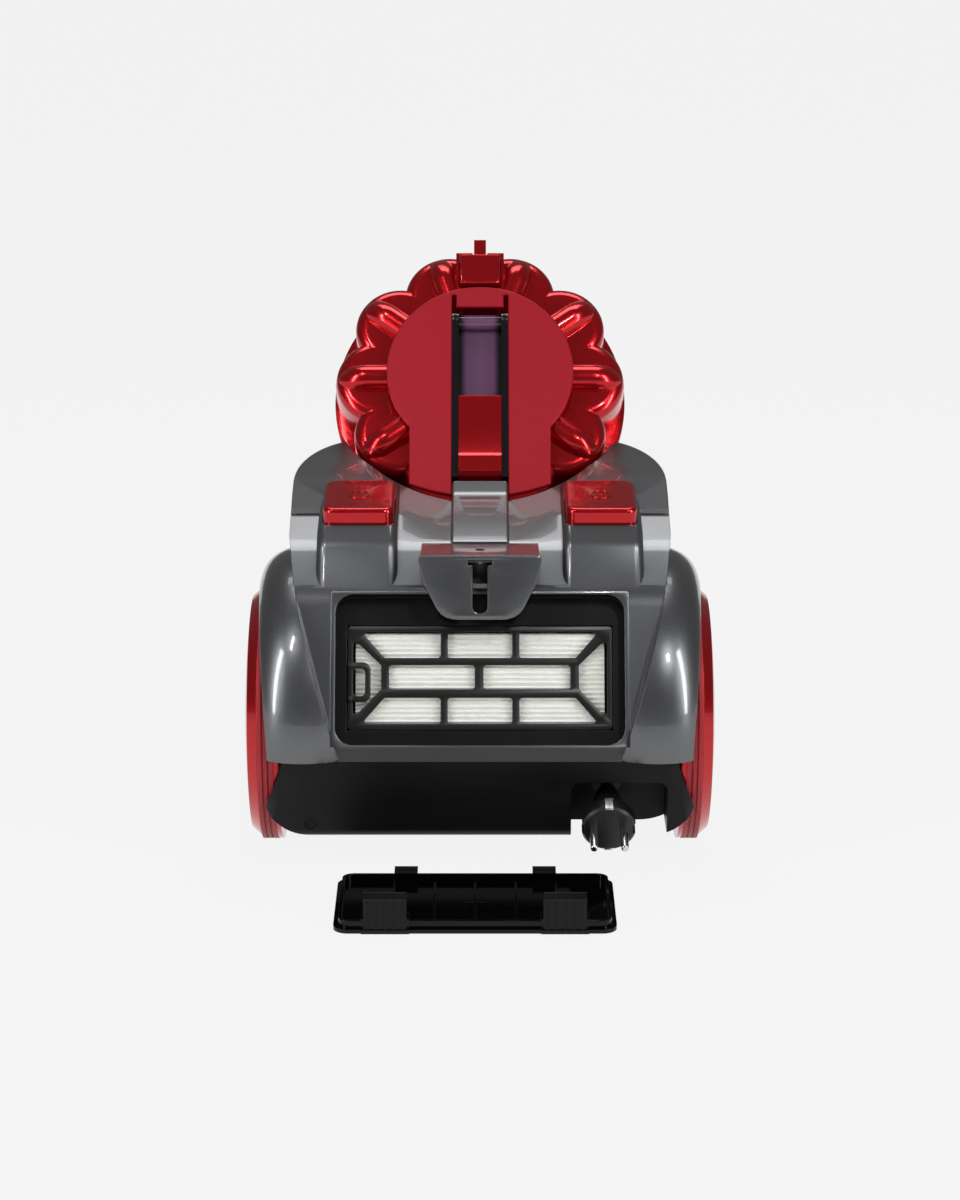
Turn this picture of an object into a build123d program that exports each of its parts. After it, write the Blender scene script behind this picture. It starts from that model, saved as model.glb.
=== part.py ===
from build123d import *
import math
import os

# Bagless multi-cyclone canister vacuum cleaner, standing on its wheels, with the cover of the
# exhaust filter taken off and laid on the floor behind it.
# Millimetres. While it is modelled the wheel axle is at y = 0 and the floor at z = 0;
# +Y runs towards the hose end, +X to the right when seen from behind.

# ---- driving dimensions ------------------------------------------------------------------
wheel_radius = 82.0          # big rear wheels
wheel_face_x = 150.0         # centre of a wheel's outer face: half the overall width
tread_width = 24.0
tyre_width = 10.0
tyre_depth = 4.0
axle_radius = 5.0
arch_gap = 4.0               # wheel to wheel arch

wall = 3.0                   # moulded casings
seam_z = 77.0                # chassis to upper housing
chassis_bottom = 24.0
chassis_half_width = 139.0
chassis_rear = 88.0          # behind the axle
nose_front = 337.0           # ahead of the axle
nose_top = 99.0
body_half_width = 121.0      # ahead of the wheels
corner_radius = 38.0         # lower corners of the chassis, seen from behind

panel_lean = 26.0            # rear panel, degrees from upright
panel_foot = 10.0            # upright step between the seam and the panel
panel_length = 94.8          # up the slope
panel_half_width = 88.0      # at the seam
panel_spread = 0.29          # how much wider the panel gets per millimetre of height
fender_half_width = 141.0
fender_top = 187.0
fender_rear = 93.0
fender_radius = 101.0

bin_tilt = 38.0              # the bin's top face looks backwards and this far up
bin_y = 115.0                # centre of the top plate
bin_z = 281.7
container_radius = 93.0
container_wall = 2.5
bin_length = 175.0           # top plate to base
crown_depth = 52.0           # top plate to the crown's lower rim
lobe_count = 10
lobe_radius = 30.0
crown_overhang = 3.0         # lobes and fingers standing out past the clear tube
finger_radius = 9.5
plate_radius = 62.0
plate_thickness = 2.5
tongue_half_width = 46.5
tongue_end = 91.4
tongue_arc = 123.0

handle_width = 31.6
handle_length = 134.0
handle_depth = 13.0
handle_pin_radius = 2.5
lip_length = 58.0
button_width = 27.0
button_length = 22.0
button_travel = 4.0

bay_width = 182.0
bay_height = 95.0
filter_width = 166.0
filter_height = 66.0
filter_thickness = 20.0
filter_recess = 11.0         # filter face below the rear panel
bar_width = 4.0
pleat_pitch = 3.0

pedal_width = 45.0
pedal_length = 50.0
pedal_height = 10.0          # standing above its pod
pedal_travel = 5.0
pedal_x = 77.0
pedal_tilt = 8.5

hose_bore = 17.5
hose_axis_z = 70.0
socket_radius = 25.0
duct_wall = 2.0
hose_stop = 1.5              # step that the hose end pushes against

caster_radius = 17.0
caster_width = 14.0
caster_trail = 12.0
caster_y = 287.0
caster_stem_radius = 5.0

cord_radius = 3.5
cord_x = 80.0
cord_z = 52.0
plug_radius = 17.0
plug_droop = 20.0
pin_radius = 2.4
pin_length = 19.0
pin_spacing = 19.0

cover_width = 171.0
cover_depth = 87.0
cover_x = -3.0
cover_edge_y = -94.5         # edge nearest the cleaner

running_gap = 0.05           # shafts in bores
seat_gap = 0.3               # pieces that lift off, slide or hinge clear

# ---- frames --------------------------------------------------------------------------------
tilt_c = math.cos(math.radians(bin_tilt))
tilt_s = math.sin(math.radians(bin_tilt))
bin_frame = Plane(origin=(0, bin_y, bin_z), x_dir=(1, 0, 0), z_dir=(0, -tilt_c, tilt_s))

lean_c = math.cos(math.radians(panel_lean))
lean_s = math.sin(math.radians(panel_lean))
panel_foot_y = -chassis_rear + 3.0
panel_foot_z = seam_z + panel_foot
panel_top_y = panel_foot_y + panel_length * lean_s
panel_top_z = panel_foot_z + panel_length * lean_c
bay_frame = Plane(
    origin=(0, (panel_foot_y + panel_top_y) / 2, (panel_foot_z + panel_top_z) / 2),
    x_dir=(1, 0, 0),
    z_dir=(0, -lean_c, lean_s),
)
cradle_radius = container_radius + 5.0
lobe_centre = container_radius + crown_overhang - lobe_radius
finger_reach = container_radius + crown_overhang + 0.5 - finger_radius
tongue_y = bin_y - tongue_end * tilt_s
tongue_z = bin_z - tongue_end * tilt_c
far = 1000.0


def in_bin(shape):
    return bin_frame.location * shape


def in_bay(shape):
    return bay_frame.location * shape


def bin_point(x, y, z):
    return bin_frame.from_local_coords((x, y, z))


def slab_x(sketch, low, high):
    """A side view (y, z) made solid between two x values."""
    return Pos(low, 0, 0) * extrude(Plane.YZ * sketch, amount=high - low, dir=(1, 0, 0))


def slab_y(sketch, low, high):
    """A rear view (x, z) made solid between two y values."""
    return Pos(0, low, 0) * extrude(Plane.XZ * sketch, amount=high - low, dir=(0, 1, 0))


def slab_z(sketch, low, high):
    """A plan view (x, y) made solid between two heights."""
    return Pos(0, 0, low) * extrude(sketch, amount=high - low, dir=(0, 0, 1))


def rod_x(radius, low, high, y, z):
    return Pos((low + high) / 2, y, z) * Rot(0, 90, 0) * Cylinder(radius, high - low)


def rod_z(radius, low, high, x=0.0, y=0.0):
    return Pos(x, y, (low + high) / 2) * Cylinder(radius, high - low)


def rod_y(radius, low, high, x, z):
    return Pos(x, (low + high) / 2, z) * Rot(90, 0, 0) * Cylinder(radius, high - low)


def ring_z(outer, inner, low, high, x=0.0, y=0.0):
    return rod_z(outer, low, high, x, y) - rod_z(inner, low - 1, high + 1, x, y)


def polygon(*points):
    return make_face(Polyline(*points, close=True))


def near(vertices, x, y):
    return [v for v in vertices if abs(v.X - x) < 0.01 and abs(v.Y - y) < 0.01]


def rounded(sketch, *corners):
    """Round each corner given as (x, y, radius)."""
    for x, y, radius in corners:
        sketch = fillet(near(sketch.vertices(), x, y), radius)
    return sketch


def mirrored(solid):
    return mirror(solid, about=Plane.YZ)


def coil_spring(radius, wire, height, turns):
    """A compression spring standing on z = 0."""
    rise = height - wire
    path = Pos(0, 0, wire / 2) * Helix(pitch=rise / turns, height=rise, radius=radius)
    start = Plane(origin=path @ 0, z_dir=path % 0)
    return sweep(start * RegularPolygon(wire / 2, 6), path=path, is_frenet=True)


# ---- casings ---------------------------------------------------------------------------------
def chassis_block(inset, top):
    """The lower casing's outer form, drawn in by a wall and running up past the seam."""
    n = inset
    w = chassis_half_width - n
    rear = -chassis_rear + n
    front = nose_front - n
    bottom = chassis_bottom + n
    plan = polygon(
        (-w, rear), (w, rear), (w, 97 - n), (body_half_width - n, 105 - n), (114 - n, 232), (64 - n, front),
        (n - 64, front), (n - 114, 232), (n - body_half_width, 105 - n), (-w, 97 - n),
    )
    for s in (-1, 1):
        plan = rounded(plan, (s * w, rear, 26 - n), (s * w, 97 - n, 6), (s * (114 - n), 232, 90),
                       (s * (64 - n), front, 48 - n))
    side = polygon((rear + 8, bottom), (rear, seam_z), (rear, top), (front, top), (front, 56), (304, bottom))
    side = rounded(side, (rear + 8, bottom, 8 - n), (304, bottom, 24))
    across = polygon((-w, bottom), (w, bottom), (w, top + 1), (-w, top + 1))
    across = rounded(across, (-w, bottom, corner_radius - n), (w, bottom, corner_radius - n))
    return slab_z(plan, 0, far / 2) & slab_x(side, -w - 1, w + 1) & slab_y(across, -200, 400)


def wheel_arch(extra):
    inner_x = wheel_face_x - tread_width - arch_gap + 1
    cut = rod_x(wheel_radius + arch_gap + extra, inner_x - extra, wheel_face_x + 10, 0, wheel_radius)
    return cut + mirrored(cut)


def axle_boss():
    inner_x = wheel_face_x - tread_width - arch_gap + 1
    boss = rod_x(axle_radius + 7, inner_x - 18, inner_x, 0, wheel_radius)
    return boss + mirrored(boss)


recess_low_x = 57.0
recess_high_x = 117.0
recess_top = 62.5
recess_depth_y = -46.0


def plug_recess(extra):
    """The niche at the rear that the mains plug is pulled up to."""
    face = polygon(
        (recess_low_x - extra, 0), (recess_high_x + extra, 0),
        (recess_high_x + extra, recess_top + extra), (recess_low_x - extra, recess_top + extra),
    )
    face = rounded(face, (recess_low_x - extra, recess_top + extra, 6 + extra),
                   (recess_high_x + extra, recess_top + extra, 6 + extra))
    return slab_y(face, -120, recess_depth_y + extra)


caster_pocket_top = 39.0
rear_screw_x = -105.8
rear_screw_z = 34.0
socket_seat_y = nose_front - 40.0


def socket_room():
    """Bore through both casings for the hose socket, stepped for its flange."""
    room = rod_y(socket_radius + seat_gap, socket_seat_y, nose_front + 10, 0, hose_axis_z)
    return room + rod_y(hose_bore + 4 + seat_gap, socket_seat_y - 10, socket_seat_y + 1, 0, hose_axis_z)


caster_sweep = caster_trail + caster_radius + 5.0


def screw_places():
    return [(x, y) for x in (-95.0, 95.0) for y in (118.0, 215.0)] + [(-105.0, -66.0)]


def lower_chassis():
    outer = chassis_block(0, seam_z + 40)
    inner = chassis_block(wall, seam_z + 60)
    inner -= wheel_arch(wall)
    inner -= plug_recess(wall)
    inner -= rod_z(caster_sweep + wall, 0, caster_pocket_top + wall, 0, caster_y)
    body = outer - inner
    body -= wheel_arch(0)
    body -= plug_recess(0)
    body -= rod_z(caster_sweep, 0, caster_pocket_top, 0, caster_y)
    body += rod_z(caster_stem_radius + 4, caster_pocket_top, caster_pocket_top + 9, 0, caster_y)
    body -= rod_z(caster_stem_radius + running_gap, 0, caster_pocket_top + 7, 0, caster_y)
    body -= Pos(0, 0, seam_z + 250) * Box(far, far, 500)
    body -= rod_x(axle_radius + 7 + seat_gap, -far / 2, far / 2, 0, wheel_radius)
    body -= socket_room()
    body += rod_y(6.5, -100, -76, rear_screw_x, rear_screw_z) & outer
    body -= rod_y(4, -100, -80, rear_screw_x, rear_screw_z)
    body -= rod_y(bush_radius, recess_depth_y - 1, recess_depth_y + wall + 1, cord_x, cord_z)
    for x, y in screw_places():
        body += rod_z(6, chassis_bottom + 1, seam_z, x, y)
        body -= rod_z(screw_head, 0, chassis_bottom + 8, x, y)
        body -= rod_z(screw_shank, 0, seam_z - 5, x, y)
    return body


def rear_outline(inset):
    """Rear panel seen square on: narrow at the seam, widest under the controls."""
    low = panel_half_width - inset
    high_z = 178.0
    high = low + (high_z - seam_z) * panel_spread
    top = 300.0
    return polygon((-low, 0), (low, 0), (low, seam_z), (high, high_z), (high + 4, 200), (high + 4, top),
                   (-high - 4, top), (-high - 4, 200), (-high, high_z), (-low, seam_z))


def rear_profile(inset):
    """Side view of the motor hump: upright step, leaning panel, then the top up to the bin."""
    n = inset
    face = polygon(
        (-chassis_rear + n, seam_z - 20), (-chassis_rear + n, seam_z), (panel_foot_y + n, panel_foot_z),
        (panel_top_y + n * 0.9, panel_top_z - n * 0.5), (-10, 195.5 - n), (40, 216 - n), (112, 233 - n),
        (150, 233 - n), (150, seam_z - 20),
    )
    return rounded(face, (panel_top_y + n * 0.9, panel_top_z - n * 0.5, 30), (-10, 195.5 - n, 60))


def rear_block(inset):
    outline = rear_outline(inset)
    block = slab_x(rear_profile(inset), -200, 200) & slab_y(outline, -200, 60)
    return block


def arm_section(inset):
    """Across the bin: the casing reaches round its lower half and rounds over at the shoulders."""
    w = body_half_width - inset
    top = -36.0 - inset
    face = polygon((-w, -330), (w, -330), (w, top), (-w, top))
    return rounded(face, (w, top, 48 - inset), (-w, top, 48 - inset))


def front_profile(inset):
    """Side view: hump top, arms falling along the bin, then the low nose."""
    n = inset
    face = polygon(
        (20, seam_z - 20), (20, 211 - n), (60, 222 - n), (112, 233 - n), (150, 233 - n),
        (238 - n, 142 - n), (262 - n, nose_top - n), (nose_front - n, nose_top - 6 - n), (nose_front - n, seam_z - 20),
    )
    return rounded(face, (238 - n, 142 - n, 26), (262 - n, nose_top - n, 14 + n),
                   (nose_front - n, nose_top - 6 - n, 14))


def front_block(inset):
    side = slab_x(front_profile(inset), -200, 200)
    w = body_half_width - inset
    low_nose = polygon((-w, 0), (w, 0), (w, nose_top - inset), (-w, nose_top - inset))
    low_nose = rounded(low_nose, (w, nose_top - inset, 16), (-w, nose_top - inset, 16))
    arms = in_bin(slab_z(arm_section(inset), -420, 160)) & side
    block = arms + (slab_y(low_nose, 180, 400) & side)
    plan = polygon(
        (-w, 0), (w, 0), (w, 105), (114 - inset, 232), (64 - inset, nose_front - inset),
        (-64 + inset, nose_front - inset), (-114 + inset, 232), (-w, 105),
    )
    for s in (-1, 1):
        plan = rounded(plan, (s * (114 - inset), 232, 90), (s * (64 - inset), nose_front - inset, 48 - inset))
    return block & slab_z(plan, 0, far / 2)


def hollow_way(extra):
    """The shallow trough down the middle of the top, where the panel runs up to the bin."""
    slope = math.atan2(tongue_z - 195.5 - 1.0, tongue_y + 10)
    radius = 200.0 + extra
    trough = Rot(90, 0, 0) * Cylinder(radius, 300)
    lift = radius - extra
    return Pos(0, -10, 195.5) * Rot(math.degrees(slope), 0, 0) * Pos(0, 60, lift) * trough


def fender():
    """Mudguard over the right wheel: a crowned section turned about an axis just ahead of the axle."""
    w = fender_half_width
    crown = Spline((80, fender_radius - 12), (113, fender_radius), (w - 8, fender_radius - 7), (w, fender_radius - 24))
    sides = Polyline((w, fender_radius - 24), (w, 0), (80, 0), (80, fender_radius - 12))
    section = make_face(Curve() + [crown, sides])
    centre = fender_top - fender_radius
    guard = Pos(0, fender_radius - fender_rear, centre) * revolve(section, axis=Axis.X, revolution_arc=360)
    guard -= Pos(0, 0, seam_z - 300) * Box(far, far, 600)
    return guard - slab_y(rear_outline(0), -200, -10)


def bay_pocket(extra):
    """What the filter bay takes out of the casing."""
    return in_bay(Pos(0, 0, 20 - bay_depth / 2 - extra / 2)
                  * Box(bay_width + 2 * extra, bay_height + 2 * extra, bay_depth + 40 + extra))


bay_wall = 2.0
bay_depth = filter_recess + filter_thickness + bay_wall
bush_radius = 7.0
screw_head = 3.6
screw_shank = 1.6


def spine_side():
    """Side view of the strip that carries the handle's line on over the hump."""
    top_y = bin_y - (handle_slot_end + 0.5) * tilt_s
    top_z = bin_z - (handle_slot_end + 0.5) * tilt_c
    face = polygon(
        (top_y, top_z), (tongue_y - 2, tongue_z + 1.5), (-8, 198.5), (-14, 195), (-10, 192), (tongue_y - 4, tongue_z - 8),
        (top_y + 3, top_z - 12),
    )
    return rounded(face, (tongue_y - 2, tongue_z + 1.5, 14))


handle_slot_end = 80.0
spine_width = 37.0


def spine_strip():
    strip = slab_x(spine_side(), -spine_width / 2, spine_width / 2)
    crest = [e for e in strip.edges() if abs(abs(e.center().X) - spine_width / 2) < 0.01 and e.center().Z > 196.5
             and e.length > 6]
    strip = fillet(crest, 2.0)
    return strip - Pos(0, bracket_back - 50 + 0.2, 200) * Box(60, 100, 60)


def pod_side():
    """Side view of the raised seat under a pedal."""
    slope = math.tan(math.radians(pedal_tilt))
    rise = 209.0
    face = polygon((-14, rise), (-24, rise - 9), (-42, 170), (60, 170), (60, rise + 74 * slope))
    return rounded(face, (-24, rise - 9, 18))


def pedal_seat(extra, low, high):
    """A box square to a pedal's travel, measured from the pod's top."""
    frame = Plane(origin=(pedal_x, -14, 209), x_dir=(1, 0, 0),
                  z_dir=(0, -math.sin(math.radians(pedal_tilt)), math.cos(math.radians(pedal_tilt))))
    plan = Rectangle(pedal_width + 2 * extra, pedal_length + 2 * extra)
    plan = fillet(plan.vertices(), 7 + extra)
    block = extrude(plan, amount=high - low)
    return frame.location * Pos(0, pedal_length / 2 + 2.5, low) * block


def pods():
    low = pedal_x - pedal_width / 2 - 2.5
    high = pedal_x + pedal_width / 2 + 3.5
    body = slab_x(pod_side(), low, high)
    edges = [e for e in body.edges() if (abs(e.center().X - low) < 0.01 or abs(e.center().X - high) < 0.01)
             and e.center().Y < 50 and e.center().Z > 171 and e.center().Y > -45]
    body = fillet(edges, 6)
    return body + mirrored(body)


pedal_skirt = 5.0
spring_room = 11.0


def casing_hump(inset):
    """The upper casing's outer form without its cut-outs."""
    body = rear_block(inset) + front_block(inset)
    body -= hollow_way(inset)
    if inset == 0:
        guard = fender()
        body = body + guard + mirrored(guard)
    else:
        reach = wheel_face_x - tread_width - arch_gap + 1 - inset
        room = wheel_radius + arch_gap - inset
        body += rod_x(room, -reach, reach, fender_radius - fender_rear + inset, fender_top - fender_radius)
    return body - Pos(0, 0, seam_z - 300) * Box(far, far, 600)


hinge_y = -container_radius - 4.5
hinge_z = -bin_length - 3.0


inlet_rise = 54.0            # inlet port above the bin's base
base_room = 15.0             # past the bin's base, for the flap
lug_room = 5.0               # past the cradle, for the hinge's lugs
duct_y = bin_y - cradle_radius * tilt_s + (bin_length - inlet_rise) * tilt_c
hinge_room_z = bin_z - (cradle_radius + lug_room + wall) * tilt_c - (bin_length + base_room) * tilt_s


def cradle(extra):
    """Where the bin lies: a trough round its lower half, ending at the flap."""
    radius = cradle_radius + extra
    low = -bin_length - base_room
    trough = rod_z(radius, low, 55)
    mouth = Pos(0, 200, (low + 55) / 2) * Box(2 * radius, 400, 55 - low)
    return in_bin(trough + mouth + rod_z(radius + lug_room, low, -bin_length + 9))


def flap_room(extra):
    """Space over the nose deck that lets the flap drop open."""
    hinge = bin_point(0, hinge_y, hinge_z)
    floor = hinge.Z - 7 - extra
    deck = nose_top + 0.5 - extra
    side = polygon((hinge.Y - 4 - extra, far / 2), (hinge.Y - 4 - extra, floor), (hinge.Y + 42, floor),
                   (hinge.Y + 62, deck), (far / 2, deck), (far / 2, far / 2))
    return slab_x(side, -cradle_radius - extra, cradle_radius + extra)


def upper_housing():
    body = casing_hump(0)
    inner = casing_hump(wall) - cradle(wall) - wheel_arch(wall) - bay_pocket(bay_wall + wall)
    inner -= flap_room(wall)
    inner -= pedal_seat(wall, -pedal_skirt - spring_room - wall, 10)
    inner -= mirrored(pedal_seat(wall, -pedal_skirt - spring_room - wall, 10))
    inner -= rod_y(socket_radius + wall, socket_seat_y - wall, nose_front + 10, 0, hose_axis_z)
    inner -= plug_recess(wall)
    body = body + pods() - inner
    body -= cradle(0)
    body -= flap_room(0)
    body -= in_bin(Pos(0, -cradle_radius, outlet_z) * Rot(90, 0, 0) * Cylinder(outlet_radius, 4 * wall))
    body -= rod_z(hose_bore, 110, 165, 0, duct_y)
    body -= in_bin(Pos(0, 240, -100) * Box(2 * cradle_radius, 480, 250))
    body -= bay_pocket(bay_wall)
    for seat in (pedal_seat(0.5, -pedal_skirt - spring_room, 40), ):
        body -= seat
        body -= mirrored(seat)
    body += axle_boss()
    body -= wheel_arch(0)
    body -= rod_x(axle_radius, -far / 2, far / 2, 0, wheel_radius)
    body -= spine_strip()
    return body - socket_room()


def filter_bay():
    """Black tray behind the rear panel: open recess, seat for the cassette and an air window."""
    w = bay_width
    h = bay_height
    outer = Pos(0, 0, -bay_depth / 2) * Box(w + 2 * bay_wall - 0.01, h + 2 * bay_wall - 0.01, bay_depth)
    mouth = extrude(fillet(Rectangle(w, h).vertices(), 11), amount=-filter_recess)
    seat = Pos(0, filter_offset, -filter_recess - filter_thickness / 2)
    outer -= mouth
    outer -= seat * Box(filter_width + 2 * seat_gap, filter_height + 2 * seat_gap, filter_thickness)
    outer -= Pos(0, filter_offset, -bay_depth) * Box(filter_width - 30, filter_height - 20, 20)
    for x in (-catch_x, catch_x):
        outer -= Pos(x, h / 2, -4.5) * Box(20, 6, 5)
        outer -= Pos(x - math.copysign(11, x), -h / 2, -4.5) * Box(15, 6, 5)
    return in_bay(outer)


filter_offset = -3.5
catch_x = 55.0


def bracket_outline():
    """The parking bracket seen from behind: wide at the top, rounded below like a cup."""
    top = 200.0
    low = 159.5
    face = polygon((-39, top), (39, top), (33, 172), (22, low), (-22, low), (-33, 172))
    return rounded(face, (33, 172, 20), (22, low, 10), (-22, low, 10), (-33, 172, 20))


bracket_back = -10.0


def parking_bracket():
    """Wedge-shaped socket with a T slot that takes the hook on the cleaner's wand."""
    lean = math.tan(math.radians(panel_lean))
    back_low = panel_foot_y + (159.5 - panel_foot_z) * lean - 1.5
    back_high = panel_foot_y + (172 - panel_foot_z) * lean - 1.5
    side = polygon((back_low - 2.5, 159.5), (-50, 198), (bracket_back, 196.5), (bracket_back, 193.5), (back_high, 172), (back_low, 159.5))
    side = rounded(side, (-50, 198, 3))
    body = slab_x(side, -60, 60) & slab_y(bracket_outline(), -100, 20)
    cavity_side = polygon((-47.5, 194), (-24, 194), (-44.5, 174), (-50.5, 165), (-51.3, 165))
    body -= slab_x(cavity_side, -9.5, 9.5)
    slot = polygon((-6.5, 193), (6.5, 193), (6.5, 169), (-6.5, 169))
    slot = rounded(slot, (6.5, 169, 5), (-6.5, 169, 5)) + Pos(0, 193.5) * Rectangle(17, 3)
    body -= slab_y(slot, -70, -40)
    body -= rod_z(3, 190, 210, 0, -28)
    return body - casing_hump(0) - bay_pocket(bay_wall) - spine_strip()


def pedal(name_side):
    """Rocker cap with a skirt that runs in its pod and a low raised mark on top."""
    body = pedal_seat(0, -pedal_skirt, pedal_height)
    body = fillet([e for e in body.faces().sort_by(Axis.Z)[-1].edges()], 3.0)
    body -= pedal_seat(-2.5, -pedal_skirt - 1, pedal_height - 4)
    frame = pedal_seat_frame()
    post_height = pedal_height - 4 + pedal_skirt
    post = frame.location * Pos(0, pedal_length / 2 + 2.5, post_height / 2 - pedal_skirt) * Cylinder(7, post_height)
    body += post
    if name_side < 0:
        mark = Circle(7) - Circle(5.4) - Pos(0, 6.5) * Rectangle(4, 6) + Pos(0, 6) * Rectangle(1.6, 8)
    else:
        mark = Circle(7) - Circle(5.4) + Circle(2)
    raised = frame.location * Pos(0, pedal_length / 2 + 2.5, pedal_height - 0.2) * extrude(mark, amount=0.8)
    body += raised
    return body if name_side > 0 else mirrored(body)


def pedal_seat_frame():
    return Plane(origin=(pedal_x, -14, 209), x_dir=(1, 0, 0),
                 z_dir=(0, -math.sin(math.radians(pedal_tilt)), math.cos(math.radians(pedal_tilt))))


def pedal_spring(side):
    height = spring_room - 0.6
    spring = coil_spring(5, 1.1, height, 5)
    placed = pedal_seat_frame().location * Pos(0, pedal_length / 2 + 2.5, -pedal_skirt - spring_room + 0.3) * spring
    return placed if side > 0 else mirrored(placed)


# ---- rolling gear ----------------------------------------------------------------------------
def wheel(side):
    """Dished wheel: crowned outer face, deep rim, hub and six ribs inside."""
    x0 = wheel_face_x - tread_width
    r = wheel_radius
    face = wheel_face_x
    crown_rise = 4.5
    ball = ((r - 7) ** 2 + crown_rise ** 2) / (2 * crown_rise)
    half_drop = ball - math.sqrt(ball ** 2 - (r / 2) ** 2)
    dome = ThreePointArc((r - 7, face - crown_rise), (r / 2, face - half_drop), (0, face))
    rest = Polyline((0, face), (0, x0 + 4), (13, x0 + 4), (13, face - 9), (r - 9, face - 10), (r - 9, x0),
                    (r - 0.3, x0), (r - 0.3, face - 12), (r - 7, face - crown_rise))
    section = make_face(Curve() + [dome, rest])
    body = Pos(0, 0, r) * Rot(0, 90, 0) * revolve(Plane.XZ * section, axis=Axis.Z)
    groove = rod_x(r + 5, x0 + 3, x0 + 3 + tyre_width, 0, r) - rod_x(r - tyre_depth, x0, x0 + 20, 0, r)
    body -= groove
    rib_start = 11.0
    rib_end = r - 7.0
    for k in range(6):
        rib = Pos(wheel_face_x - 12, 0, (rib_start + rib_end) / 2) * Box(12, 3, rib_end - rib_start)
        body += Pos(0, 0, r) * Rot(60 * k, 0, 0) * rib
    body -= rod_x(axle_radius + running_gap, x0 - 5, wheel_face_x - 6, 0, r)
    return body if side > 0 else mirrored(body)


def tyre(side):
    x0 = wheel_face_x - tread_width + 3
    r = wheel_radius
    band = rod_x(r, x0, x0 + tyre_width, 0, r) - rod_x(r - tyre_depth, x0 - 1, x0 + tyre_width + 1, 0, r)
    for k in range(2):
        x = x0 + tyre_width * (k + 1) / 3
        band -= rod_x(r + 1, x - 0.5, x + 0.5, 0, r) - rod_x(r - 1, x - 1, x + 1, 0, r)
    return band if side > 0 else mirrored(band)


def stub_axles():
    inner_x = wheel_face_x - tread_width - arch_gap + 1
    pin = rod_x(axle_radius, inner_x - 16, wheel_face_x - 7, 0, wheel_radius)
    pin += rod_x(axle_radius + 4, inner_x - 20, inner_x - 18, 0, wheel_radius)
    pin += rod_x(axle_radius, inner_x - 18, inner_x - 16, 0, wheel_radius)
    return pin + mirrored(pin)


def caster_fork():
    """Round turntable with two cheeks; its stem turns in the chassis."""
    plate = rod_z(caster_sweep - 8, caster_pocket_top - 3.5, caster_pocket_top - seat_gap, 0, caster_y)
    stem = rod_z(caster_stem_radius, caster_pocket_top - 1, caster_pocket_top + 6.5, 0, caster_y)
    cheek = polygon((-caster_trail - 7, caster_radius), (-caster_trail, caster_radius - 7), (-caster_trail + 7, caster_radius),
                    (8, caster_pocket_top - 2), (-caster_trail - 9, caster_pocket_top - 2))
    cheek = rounded(cheek, (-caster_trail, caster_radius - 7, 6))
    body = plate + stem
    for s in (-1, 1):
        x = s * (caster_width / 2 + 0.5 + 1.5)
        body += Pos(0, caster_y, 0) * slab_x(cheek, x - 1.5, x + 1.5)
    return body - rod_x(1.5, -20, 20, caster_y - caster_trail, caster_radius)


def caster_wheel():
    r = caster_radius
    w = caster_width / 2
    y = caster_y - caster_trail
    body = rod_x(r, -w, w, y, r)
    body = fillet(body.edges().filter_by(GeomType.CIRCLE), 2.0)
    body -= rod_x(r + 1, -0.8, 0.8, y, r) - rod_x(r - 1.5, -1, 1, y, r)
    return body - rod_x(1.5 + running_gap, -w - 1, w + 1, y, r)


def caster_axle():
    w = caster_width / 2 + 0.5 + 3.0
    return rod_x(1.5, -w, w, caster_y - caster_trail, caster_radius)


def casing_screws():
    """Countersunk screws driven up through the posts of the lower casing."""
    group = []
    for x, y in screw_places():
        head = rod_z(screw_head - 0.2, chassis_bottom + 6.0, chassis_bottom + 8.0, x, y)
        shank = rod_z(screw_shank, chassis_bottom + 8, seam_z - 8, x, y)
        group.append(head + shank)
    return Compound(children=group)


# ---- bin: drawn square to its own axis, top plate at z = 0, front of the cleaner towards +y ------
rim_radius = cradle_radius - seat_gap
spigot_radius = container_radius - container_wall - 0.2
container_top = -crown_depth - 4.0
pivot_y = 39.0
pivot_z = -8.0
slot_half = handle_width / 2 + 2.9
slot_front = 56.0
pocket_floor = -handle_depth - 2.0
button_y = 75.0
rod_y_mid = 96.2


def lobes(radius):
    """Plan of the crown: a ring of equal lobes."""
    places = PolarLocations(lobe_centre, lobe_count, start_angle=90 + 180 / lobe_count)
    return Circle(lobe_centre) + places * Circle(radius)


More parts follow.
